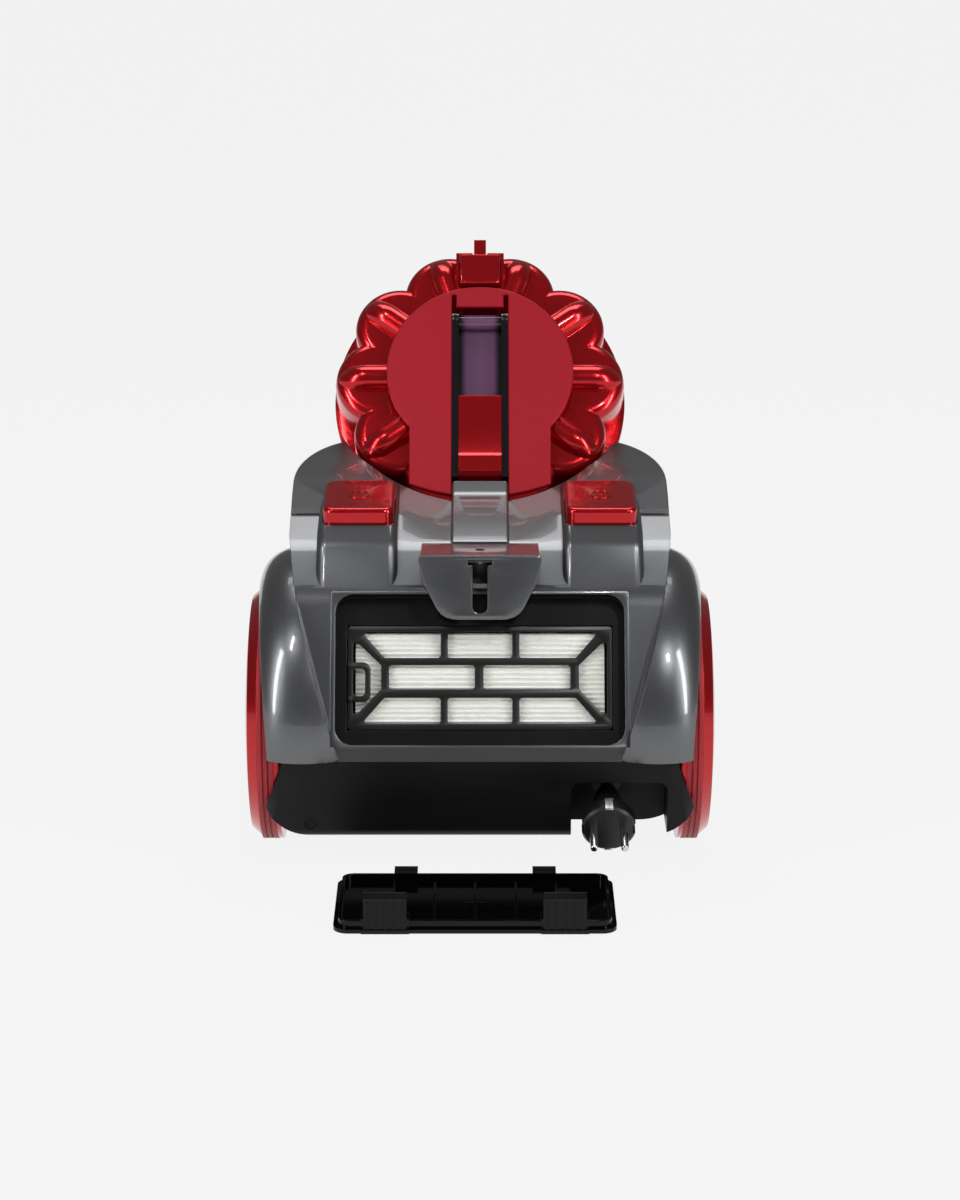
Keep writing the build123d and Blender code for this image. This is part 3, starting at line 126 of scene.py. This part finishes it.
# The eye sees a pale wall, also through the smoky tub, while the light that falls from it stays dim.
world = bpy.data.worlds.new("studio_world")
bpy.context.scene.world = world
world.use_nodes = True
world.node_tree.nodes.clear()
dim = put(world, "ShaderNodeBackground", {"Color": linear("#ffffff"), "Strength": 0.13})
pale = put(world, "ShaderNodeBackground", {"Color": linear("#f5f5f5"), "Strength": 1.0})
wall_seen = ray_is(world, "Is Camera Ray", "Is Transmission Ray")
wall = put(world, "ShaderNodeMixShader", None, {0: wall_seen, 1: dim.outputs[0], 2: pale.outputs[0]})
put(world, "ShaderNodeOutputWorld", None, {"Surface": wall.outputs[0]})

# White backdrop paper, lit so evenly that it melts into the wall; a little of it stays plain paper
# and takes the soft shadows.
studio_floor = blank("studio_paper")
floor_seen = ray_is(studio_floor, "Is Camera Ray", "Is Glossy Ray", "Is Transmission Ray")
share = put(studio_floor, "ShaderNodeMath", {"operation": "MULTIPLY", 1: 0.96}, {0: floor_seen})
matt = put(studio_floor, "ShaderNodeBsdfDiffuse", {"Color": linear("#e8e8e8")})
glow = put(studio_floor, "ShaderNodeEmission", {"Color": linear("#f5f5f5"), "Strength": 1.0})
lit = put(studio_floor, "ShaderNodeMixShader", None,
          {0: share.outputs[0], 1: matt.outputs[0], 2: glow.outputs[0]})
put(studio_floor, "ShaderNodeOutputMaterial", None, {"Surface": lit.outputs[0]})
floor_gap = 0.0006
bpy.ops.mesh.primitive_plane_add(size=30.0, location=(0, 5, -floor_gap))
floor = bpy.context.object
floor.name = "studio_floor"
floor.data.materials.append(studio_floor)

# ---- lower casing -----------------------------------------------------------------------------
# Black ABS moulding with a fine spark-eroded grain that carries the axles, the reel and the motor.
# The grain makes it look soft and dry, with a broad dull highlight along its rounded corners.


def pick(*pieces):
    """Select these pieces alone; the last one is active."""
    bpy.ops.object.select_all(action="DESELECT")
    for piece in pieces:
        piece.select_set(True)
    bpy.context.view_layer.objects.active = pieces[-1]


def weld_and_smooth(piece, degrees):
    """Merge the points that lie together and shade smooth across all but the sharper edges."""
    pick(piece)
    bpy.ops.object.mode_set(mode="EDIT")
    bpy.ops.mesh.select_all(action="SELECT")
    bpy.ops.mesh.remove_doubles(threshold=0.000002)
    bpy.ops.object.mode_set(mode="OBJECT")
    if piece.data.has_custom_normals:
        bpy.ops.mesh.customdata_custom_splitnormals_clear()
    bpy.ops.object.shade_smooth_by_angle(angle=math.radians(degrees))


def skin(name, body, degrees=32):
    """A smooth-shaded copy of a CAD node's surface that stands for it."""
    piece = bpy.data.objects.new(name + "_skin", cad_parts[name].data.copy())
    bpy.context.scene.collection.objects.link(piece)
    weld_and_smooth(piece, degrees)
    piece.data.materials.clear()
    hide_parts(name)
    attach(piece, body)
    return piece


def finish(piece, material):
    """Give a piece its one material."""
    piece.data.materials.append(material)
    return piece


def grained(name, colour, roughness, grain, depth, wear, mirror=0.5):
    """A moulded surface: grain of a real size, slight changes of sheen, and rubbed edges."""
    material = blank(name)
    place = put(material, "ShaderNodeTexCoord").outputs["Object"]
    pits = put(material, "ShaderNodeTexNoise", {"Scale": 1.0 / grain, "Detail": 3.0, "Roughness": 0.6},
               {"Vector": place})
    broad = put(material, "ShaderNodeTexNoise", {"Scale": 14.0, "Detail": 3.0}, {"Vector": place})
    sheen = put(material, "ShaderNodeMapRange", {"To Min": roughness - 0.05, "To Max": roughness + 0.07},
                {"Value": broad.outputs["Fac"]})
    edge = put(material, "ShaderNodeNewGeometry").outputs["Pointiness"]
    rub = put(material, "ShaderNodeMapRange",
              {"From Min": 0.53, "From Max": 0.62, "To Min": 0.0, "To Max": 0.35}, {"Value": edge})
    base = put(material, "ShaderNodeMix", {"data_type": "RGBA", "A": linear(colour), "B": linear(wear)},
               {"Factor": rub.outputs[0]})
    arris = put(material, "ShaderNodeBevel", {"Radius": 0.0006})
    lumps = put(material, "ShaderNodeBump", {"Strength": 0.35, "Distance": depth},
                {"Height": pits.outputs["Fac"], "Normal": arris.outputs[0]})
    shader = put(material, "ShaderNodeBsdfPrincipled", {"IOR": 1.5, "Specular IOR Level": mirror},
                 {"Base Color": base.outputs["Result"], "Roughness": sheen.outputs[0],
                  "Normal": lumps.outputs[0]})
    put(material, "ShaderNodeOutputMaterial", None, {"Surface": shader.outputs[0]})
    return material


black_abs = grained("spark_eroded_black_ABS", "#050506", 0.36, 0.0007, 0.00006, "#1c1e20", 0.2)
finish(skin("lower_chassis", "housing"), black_abs)

# ---- upper casing -----------------------------------------------------------------------------
# Injection-moulded ABS sprayed with a graphite metallic base coat and a clear lacquer. The aluminium
# flake darkens away from the lights, and the lacquer over it adds a sharp second highlight.


def lacquered(name, light, deep, metal, roughness, flake=0.0006, coat=0.8):
    """Metallic paint under clear lacquer; flake is drawn a little coarse so that it shows."""
    material = blank(name)
    place = put(material, "ShaderNodeTexCoord").outputs["Object"]
    specks = put(material, "ShaderNodeTexVoronoi", {"Scale": 1.0 / flake}, {"Vector": place})
    broad = put(material, "ShaderNodeTexNoise", {"Scale": 9.0, "Detail": 4.0}, {"Vector": place})
    base = put(material, "ShaderNodeMix", {"data_type": "RGBA", "A": linear(deep), "B": linear(light)},
               {"Factor": specks.outputs["Color"]})
    sheen = put(material, "ShaderNodeMapRange", {"To Min": roughness - 0.04, "To Max": roughness + 0.06},
                {"Value": broad.outputs["Fac"]})
    arris = put(material, "ShaderNodeBevel", {"Radius": 0.0009})
    tilt = put(material, "ShaderNodeBump", {"Strength": 0.06, "Distance": 0.0002},
               {"Height": specks.outputs["Distance"], "Normal": arris.outputs[0]})
    shader = put(material, "ShaderNodeBsdfPrincipled",
                 {"Metallic": metal, "Coat Weight": coat, "Coat Roughness": 0.05, "Coat IOR": 1.5},
                 {"Base Color": base.outputs["Result"], "Roughness": sheen.outputs[0],
                  "Normal": tilt.outputs[0]})
    put(material, "ShaderNodeOutputMaterial", None, {"Surface": shader.outputs[0]})
    return material


graphite = lacquered("graphite_metallic_lacquer_on_ABS", "#6d6e70", "#5c5d5f", 0.85, 0.3, 0.00025)
for name in ("upper_housing", "spine_strip"):
    finish(skin(name, "housing"), graphite)

# The liner of the filter bay is plain black ABS, polished in the tool, so it keeps dark reflections.
bay_black = grained("tool_polished_black_ABS", "#08080a", 0.24, 0.0015, 0.00002, "#1c1d1f")
finish(skin("filter_bay", "housing"), bay_black)

# A thin lip of the grey panel rounds off the corners of the bay's opening.


def corner_arcs(points, radius, steps=5):
    """A closed loop through the points with its corners rounded, by one radius or one for each."""
    bends = radius if isinstance(radius, list) else [radius] * len(points)
    loop = []
    for k, bend in enumerate(bends):
        corner = Vector(points[k])
        before = (Vector(points[k - 1]) - corner).normalized()
        after = (Vector(points[(k + 1) % len(points)]) - corner).normalized()
        half = before.angle(after) / 2
        centre = corner + (before + after).normalized() * bend / math.sin(half)
        first = corner + before * bend / math.tan(half) - centre
        last = corner + after * bend / math.tan(half) - centre
        for j in range(steps + 1):
            share = j / steps
            step = (first * (1 - share) + last * share).normalized() * bend
            loop.append(tuple(centre + step))
    return loop


def block_loop(left, right, low, high, radius):
    """A rectangle with rounded corners."""
    return corner_arcs([(left, low), (right, low), (right, high), (left, high)], radius)


def mirrored_loop(loop, across, up):
    """The loop mirrored where a factor is -1."""
    return [(x * across, y * up) for x, y in loop]


metre = 1000  # millimetres


def die_cut(name, loops, place, thick, arris):
    """A flat moulding from closed loops, the first its outline and the rest its holes; sizes in mm."""
    curve = bpy.data.curves.new(name, "CURVE")
    curve.dimensions = "2D"
    curve.fill_mode = "BOTH"
    curve.extrude = thick / 2 / metre - arris / metre
    curve.bevel_depth = arris / metre
    curve.bevel_resolution = 1
    curve.offset = -arris / metre
    for loop in loops:
        spline = curve.splines.new("POLY")
        spline.points.add(len(loop) - 1)
        for point, (x, y) in zip(spline.points, loop):
            point.co = (x / metre, y / metre, 0, 1)
        spline.use_cyclic_u = True
    made = bpy.data.objects.new(name, curve)
    bpy.context.scene.collection.objects.link(made)
    made.matrix_world = place
    pick(made)
    bpy.ops.object.convert(target="MESH")
    made = bpy.context.object
    bpy.ops.object.transform_apply(location=True, rotation=True, scale=True)
    weld_and_smooth(made, 40)
    return made


def plane_at(origin, across, up, out):
    """The place of a flat moulding, from its origin in millimetres and the directions of its plane."""
    return Matrix.Translation(Vector(origin) / metre) @ Matrix((across, up, out)).transposed().to_4x4()


rightward = Vector((1, 0, 0))
bay_lean = math.radians(26)
bay_up = Vector((0, math.sin(bay_lean), math.cos(bay_lean)))
bay_out = Vector((0, -math.cos(bay_lean), math.sin(bay_lean)))
bay_middle = Vector((0, -140.7, 129.6))


def bay_place(x, y, height):
    """A point on the filter bay, in millimetres from its middle and out of its face."""
    return plane_at(bay_middle + rightward * x + bay_up * y + bay_out * height, rightward, bay_up, bay_out)


lip = die_cut("bay_lip",
              [block_loop(-93.2, 93.2, -49.7, 49.7, 1.0), block_loop(-90.3, 90.3, -47.6, 47.6, 11.0)],
              bay_place(0, 0, -0.45), 1.0, 0.25)
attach(lip, "housing")
finish(lip, graphite)

# The parking bracket is a cup: a rounded face with a T slot stands out from a body drawn in below it.
bracket = skin("parking_bracket", "housing")
cup_base, cup_shoulder, cup_rim = 166.0, 182.0, 200.0
base_reach, shoulder_gain, rim_gain = 22.0, 12.0, 3.5
for vertex in bracket.data.vertices:
    x, z = vertex.co.x * metre, max(vertex.co.z * metre, cup_base)
    reach = base_reach + shoulder_gain * min(1.0, (z - cup_base) / (cup_shoulder - cup_base))
    reach += rim_gain * max(0.0, (z - cup_shoulder) / (cup_rim - cup_shoulder))
    vertex.co.x = max(-reach, min(reach, x)) / metre
    vertex.co.z = z / metre
cup_foot = Vector((0, -137.5, 161.0))
cup_up = Vector((0, 9.0, 39.0)).normalized()
cup_out = Vector((0, -cup_up.z, cup_up.y))


def cup_place(depth):
    """The bracket's face plane, at a depth behind its front in millimetres."""
    return plane_at(cup_foot - cup_out * depth, rightward, cup_up, cup_out)


cup_outline = corner_arcs([(-24, 0), (24, 0), (34.5, 21.5), (39.5, 40), (-39.5, 40), (-34.5, 21.5)],
                          [14, 14, 20, 3, 3, 20])
cup_inside = corner_arcs([(-21.8, 2.6), (21.8, 2.6), (31.9, 22), (36.4, 37.4), (-36.4, 37.4), (-31.9, 22)],
                         [11.5, 11.5, 18, 1, 1, 18])
tee_slot = corner_arcs([(-4.6, 4), (4.6, 4), (4.6, 34), (7.5, 34), (7.5, 37),
                        (-7.5, 37), (-7.5, 34), (-4.6, 34)],
                       [4, 4, 0.4, 0.4, 0.4, 0.4, 0.4, 0.4])
face = die_cut("bracket_face", [cup_outline, tee_slot], cup_place(1.3), 2.6, 0.9)
wall = die_cut("bracket_wall", [cup_outline, cup_inside], cup_place(6.0), 9.4, 0.3)
pick(wall, face, bracket)
bpy.ops.object.join()
finish(bracket, graphite)

# ---- rolling gear -----------------------------------------------------------------------------
# Large ABS wheels lacquered in candy red with a soft red tread, on steel stub axles, and a small
# black nylon caster under the nose.

# Candy lacquer lays clear red over bright flake, so it glows where a lamp strikes and deepens beside it.
candy_red = lacquered("candy_red_lacquer_on_ABS", "#cc0d18", "#a20a13", 0.8, 0.2, 0.00025, 0.45)
for side in ("left", "right"):
    finish(skin("wheel_" + side, "wheel_" + side[0]), candy_red)

# The tread is dry and hardly shines, and pales where it rubs.
red_tread = grained("moulded_red_TPE", "#9c1019", 0.5, 0.0009, 0.00008, "#b5313a")
for side in ("left", "right"):
    finish(skin("tyre_" + side, "wheel_" + side[0]), red_tread)

for name, body in (("caster_fork", "caster"), ("caster_wheel", "caster_roller")):
    finish(skin(name, body), black_abs)

# ---- controls ----------------------------------------------------------------------------------
# Two rocker caps moulded in ABS and lacquered in the same candy red as the wheels, each with a low
# raised mark. They stand in the casing's shoulders, on springs.
for name, body in (("power_pedal", "power_button"), ("rewind_pedal", "rewind_button")):
    finish(skin(name, body), candy_red)

# ---- dust bin ----------------------------------------------------------------------------------
# The crown over the cyclones is candy red; its flat top plate is satin red, sprayed and lightly
# brushed along the handle; the tub and handle are smoky transparent styrene.
finish(skin("cyclone_crown", "bin", 40), candy_red)
for name, body in (("release_button", "release"), ("handle_grip", "handle")):
    finish(skin(name, body), candy_red)

# The brushing runs down the plate. Its strokes are drawn about half a millimetre wide so that they show.
plate_lean = math.radians(-52)
satin_red = blank("satin_brushed_red_lacquer")
place = put(satin_red, "ShaderNodeTexCoord").outputs["Object"]
along = put(satin_red, "ShaderNodeMapping", {"Rotation": (plate_lean, 0, 0), "Scale": (1.0, 0.02, 1.0)},
            {"Vector": place})
lines = put(satin_red, "ShaderNodeTexNoise", {"Scale": 1800.0, "Detail": 2.0}, {"Vector": along.outputs[0]})
tone = put(satin_red, "ShaderNodeMix",
           {"data_type": "RGBA", "A": linear("#94041a"), "B": linear("#aa0820")},
           {"Factor": lines.outputs["Fac"]})
arris = put(satin_red, "ShaderNodeBevel", {"Radius": 0.0007})
groove = put(satin_red, "ShaderNodeBump", {"Strength": 0.12, "Distance": 0.00005},
             {"Height": lines.outputs["Fac"], "Normal": arris.outputs[0]})
sheen = put(satin_red, "ShaderNodeMapRange", {"To Min": 0.34, "To Max": 0.46},
            {"Value": lines.outputs["Fac"]})
shader = put(satin_red, "ShaderNodeBsdfPrincipled",
             {"Metallic": 0.45, "Coat Weight": 0.05, "Coat Roughness": 0.3},
             {"Base Color": tone.outputs["Result"], "Roughness": sheen.outputs[0],
              "Normal": groove.outputs[0]})
put(satin_red, "ShaderNodeOutputMaterial", None, {"Surface": shader.outputs[0]})
finish(skin("top_plate", "bin"), satin_red)


def smoky(name, colour, roughness, through):
    """Tinted transparent styrene with faint flow marks."""
    material = blank(name)
    place = put(material, "ShaderNodeTexCoord").outputs["Object"]
    flow = put(material, "ShaderNodeTexNoise", {"Scale": 30.0, "Detail": 3.0}, {"Vector": place})
    sheen = put(material, "ShaderNodeMapRange", {"To Min": roughness, "To Max": roughness + 0.06},
                {"Value": flow.outputs["Fac"]})
    wave = put(material, "ShaderNodeBump", {"Strength": 0.05, "Distance": 0.0003},
               {"Height": flow.outputs["Fac"]})
    shader = put(material, "ShaderNodeBsdfPrincipled",
                 {"Base Color": linear(colour), "IOR": 1.57, "Transmission Weight": through},
                 {"Roughness": sheen.outputs[0], "Normal": wave.outputs[0]})
    put(material, "ShaderNodeOutputMaterial", None, {"Surface": shader.outputs[0]})
    return material


smoky_grey = smoky("smoky_transparent_styrene", "#4b4750", 0.06, 0.75)
for name, body in (("dust_container", "bin"), ("base_flap", "flap")):
    finish(skin(name, body), smoky_grey)
violet = "#8a5f86"
smoky_violet = smoky("smoky_violet_polycarbonate", violet, 0.14, 0.55)
# The trough's rails lie deeper than its floor, so painted shade darkens the same plastic there towards a
# near-black violet.
place = put(smoky_violet, "ShaderNodeTexCoord").outputs["Object"]
parted = put(smoky_violet, "ShaderNodeSeparateXYZ", None, {0: place})
off_middle = put(smoky_violet, "ShaderNodeMath", {"operation": "ABSOLUTE"}, {0: parted.outputs["X"]})
rail_shade_mask = put(smoky_violet, "ShaderNodeMapRange", {"From Min": 0.009, "From Max": 0.013},
              {"Value": off_middle.outputs[0]})
# Painted shade: the violet is mixed towards near-black over the rails.
rail_shaded_tint = put(smoky_violet, "ShaderNodeMix",
           {"data_type": "RGBA", "A": linear(violet), "B": linear("#140d18")},
           {"Factor": rail_shade_mask.outputs[0]})
violet_shader = next(n for n in smoky_violet.node_tree.nodes if n.bl_idname == "ShaderNodeBsdfPrincipled")
smoky_violet.node_tree.links.new(rail_shaded_tint.outputs["Result"], violet_shader.inputs["Base Color"])
finish(skin("carry_handle", "handle"), smoky_violet)

# The pins that the trough turns on end in small dark discs at the heads of its rails.
bin_out = Vector((0, -0.788011, 0.615661))
bin_up = Vector((0, 0.615661, 0.788011))
hinge_line = Vector((0, 38.5, 281.7)) + bin_up * 39.0
pin_radius, pin_facets, pin_reach, pin_sunk = 2.3, 20, 16.4, 0.5
disc_loop = [(pin_radius * math.cos(math.tau * k / pin_facets),
              pin_radius * math.sin(math.tau * k / pin_facets))
             for k in range(pin_facets)]
for side, x in (("left", -pin_reach), ("right", pin_reach)):
    place = plane_at(hinge_line + rightward * x - bin_out * pin_sunk, rightward, bin_up, bin_out)
    disc = die_cut("trough_pin_end_" + side, [disc_loop], place, 0.8, 0.2)
    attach(disc, "handle")
    finish(disc, bay_black)

# ---- exhaust filter and its cover --------------------------------------------------------------
# A black polypropylene cassette holds a pack of white pleated glass-fibre paper; the cover that
# was unclipped from over it is polished black ABS and lies on the floor, inner side up.
frame_black = grained("moulded_black_polypropylene", "#0c0d0e", 0.34, 0.0008, 0.00003, "#2a2b2d")
cassette_x, cassette_y, cassette_wall, cassette_drop = 82.9, 32.9, 2.5, -3.5
inner_x, inner_y = cassette_x - cassette_wall, cassette_y - cassette_wall
window_bend = 1.8
top_middle = block_loop(-20.2, 20.2, 12.6, 29.2, window_bend)
top_left = corner_arcs([(-24.7, 29.2), (-24.7, 12.6), (-59.9, 12.6), (-74.4, 29.2)], window_bend)
end_left = corner_arcs([(-79.5, 25.0), (-62.0, 8.1), (-62.0, -7.3), (-79.5, -25.8)], window_bend)
middle_left = block_loop(-57.0, -3.3, -7.3, 8.1, window_bend)
middle_right = block_loop(2.2, 56.5, -7.3, 8.1, window_bend)
windows = [top_middle, top_left, mirrored_loop(top_left, -1, 1), mirrored_loop(top_middle, 1, -1),
           mirrored_loop(top_left, 1, -1), mirrored_loop(top_left, -1, -1),
           end_left, mirrored_loop(end_left, -1, 1), middle_left, middle_right]
rim_outside = block_loop(-cassette_x, cassette_x, -cassette_y, cassette_y, 2.5)
rim_inside = block_loop(-inner_x, inner_x, -inner_y, inner_y, 1.5)
grille = die_cut("cassette_grille", [rim_outside] + windows, bay_place(0, cassette_drop, -12.0), 2.0, 0.3)
tray = die_cut("cassette_tray", [rim_outside, rim_inside], bay_place(0, cassette_drop, -21.9), 17.7, 0.2)
pull_outside = block_loop(-81.9, -68.4, -15.6, 9.6, 5.0)
pull_inside = block_loop(-79.4, -72.0, -11.8, 5.8, 2.6)
ring = die_cut("cassette_pull_ring", [pull_outside, pull_inside],
               bay_place(0, cassette_drop, -10.2), 2.2, 0.5)
lug_length = 3.0
lugs = [die_cut("cassette_lug_" + side, [block_loop(-82.6, -79.9, y, y + lug_length, 0.8)],
                bay_place(0, cassette_drop, -9.8), 3.4, 0.3)
        for side, y in (("low", -15.2), ("high", 6.2))]
pick(tray, ring, *lugs, grille)
bpy.ops.object.join()
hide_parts("filter_frame")
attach(grille, "filter")
finish(grille, frame_black)

# Glass-fibre paper scatters light evenly: matt, off-white and faintly fibrous.
paper = blank("pleated_glass_fibre_paper")
place = put(paper, "ShaderNodeTexCoord").outputs["Object"]
fibre = put(paper, "ShaderNodeTexNoise", {"Scale": 900.0, "Detail": 4.0, "Roughness": 0.7},
            {"Vector": place})
tone = put(paper, "ShaderNodeMix", {"data_type": "RGBA", "A": linear("#dcdcd6"), "B": linear("#f4f4f0")},
           {"Factor": fibre.outputs["Fac"]})
nap = put(paper, "ShaderNodeBump", {"Strength": 0.3, "Distance": 0.0001}, {"Height": fibre.outputs["Fac"]})
shader = put(paper, "ShaderNodeBsdfPrincipled", {"Roughness": 0.9, "Sheen Weight": 0.15},
             {"Base Color": tone.outputs["Result"], "Normal": nap.outputs[0]})
put(paper, "ShaderNodeOutputMaterial", None, {"Surface": shader.outputs[0]})
finish(skin("filter_medium", "filter", 20), paper)

# The cover's mould was polished, so the black keeps sharp reflections with hardly any grain.
polished = grained("polished_black_ABS", "#020203", 0.1, 0.004, 0.00001, "#0c0d0e", 0.25)
finish(skin("filter_cover", "cover"), polished)
floor_plane = Matrix.Translation((-0.003, -0.2145, 0.0029))
half_bar, long_arm, short_arm = 0.6, 6.0, 4.5
half_cross = [(long_arm, -half_bar), (long_arm, half_bar), (half_bar, half_bar),
              (half_bar, short_arm), (-half_bar, short_arm), (-half_bar, half_bar)]
cross_loop = corner_arcs(half_cross + mirrored_loop(half_cross, -1, -1), 0.2)
cross = die_cut("cover_cross_mark", [cross_loop], floor_plane, 0.8, 0.15)
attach(cross, "cover")
finish(cross, polished)

# Upright ribs on the two latches give the thumbs a hold.
latch_plane = plane_at((-3.0, -260.9, 0.0), rightward, Vector((0, 0, 1)), Vector((0, -1, 0)))
latch_reach, rib_pitch, rib_half, rib_foot, rib_head = 54.0, 5.4, 0.8, 3.0, 21.8
for latch, middle in (("left", -latch_reach), ("right", latch_reach)):
    for k in range(5):
        x = middle + rib_pitch * (k - 2)
        rib_loop = block_loop(x - rib_half, x + rib_half, rib_foot, rib_head, 0.4)
        rib = die_cut("latch_rib_%s_%d" % (latch, k), [rib_loop], latch_plane, 1.6, 0.3)
        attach(rib, "cover")
        finish(rib, polished)

# ---- mains plug ----------------------------------------------------------------------------------
# Moulded black PVC plug with nickel-plated brass pins and earth clips, drawn up to the bush at the end
# of its lead. The PVC is soft and dull, with a little grain.
pvc = grained("moulded_black_PVC", "#0d0d0e", 0.38, 0.0009, 0.00004, "#26272a")
for name, body in (("plug_body", "plug"), ("cord_bush", "housing")):
    piece = finish(skin(name, body), pvc)
lead_curve = bpy.data.curves.new("mains_lead", "CURVE")
lead_curve.dimensions = "3D"
lead_radius = 0.0035
lead_curve.bevel_depth = lead_radius
lead_curve.bevel_resolution = 6
lead_route = [(0.080, -0.0315, 0.052), (0.080, -0.1303, 0.052), (0.080, -0.1388, 0.0490)]
lead_spline = lead_curve.splines.new("NURBS")
lead_spline.points.add(len(lead_route) - 1)
for point, where in zip(lead_spline.points, lead_route):
    point.co = (*where, 1.0)
lead_spline.order_u = 3
lead_spline.use_endpoint_u = True
lead = bpy.data.objects.new("mains_lead", lead_curve)
bpy.context.scene.collection.objects.link(lead)
lead_rubber = grained("moulded_black_PVC_lead", "#101011", 0.45, 0.0009, 0.00004, "#26272a")
lead_curve.materials.append(lead_rubber)
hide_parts("cord_lead")
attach(lead, "plug")

# Nickel plate is a pale, faintly warm mirror that handling has dulled in patches.
nickel = blank("nickel_plated_brass")
place = put(nickel, "ShaderNodeTexCoord").outputs["Object"]
tarnish = put(nickel, "ShaderNodeTexNoise", {"Scale": 260.0, "Detail": 3.0}, {"Vector": place})
tone = put(nickel, "ShaderNodeMix", {"data_type": "RGBA", "A": linear("#c9c6bf"), "B": linear("#e6e4de")},
           {"Factor": tarnish.outputs["Fac"]})
sheen = put(nickel, "ShaderNodeMapRange", {"To Min": 0.16, "To Max": 0.3},
            {"Value": tarnish.outputs["Fac"]})
shader = put(nickel, "ShaderNodeBsdfPrincipled", {"Metallic": 1.0},
             {"Base Color": tone.outputs["Result"], "Roughness": sheen.outputs[0]})
put(nickel, "ShaderNodeOutputMaterial", None, {"Surface": shader.outputs[0]})
for name in ("plug_pins", "earth_clips"):
    finish(skin(name, "plug"), nickel)

# ---- parts inside ---------------------------------------------------------------------------------
# What the casings hide: zinc-plated steel, rubber mounts and seals, foam and plain black mouldings.
# The steel glints, and the rest is there to be dark and dull behind the smoky tub.
seal_rubber = grained("moulded_EPDM_rubber", "#101011", 0.6, 0.0007, 0.00005, "#232324")
foam = grained("open_cell_polyurethane_foam", "#1b1c1f", 0.9, 0.0012, 0.0004, "#2b2c30")
zinc = lacquered("zinc_plated_steel", "#b9babd", "#9c9da0", 1.0, 0.3)


def coil(name, body):
    """A spring of zinc-plated wire, given a mesh of its own."""
    piece = finish(skin(name, body), zinc)
    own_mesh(piece)


coil("power_pedal_spring", "housing")
coil("rewind_pedal_spring", "housing")
coil("button_spring", "bin")
hidden = (
    (seal_rubber, ("inlet_seal", "outlet_seal", "motor_gasket", "rear_mount", "container_seal", "flap_seal",
                   "cord_winding")),
    (foam, ("motor_foam",)),
    (zinc, ("casing_screws", "handle_pin", "stub_axles", "caster_axle", "motor_can", "impeller",
            "shaft_bearings", "flap_pin")),
    (black_abs, ("inlet_duct", "foam_cup", "fan_housing", "motor_stand", "reel_bracket", "reel_drum",
                 "power_switch", "hose_socket", "cyclone_cones", "shroud")),
)
for material, names in hidden:
    for name in names:
        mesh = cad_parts[name].data
        mesh.materials.clear()
        mesh.materials.append(material)
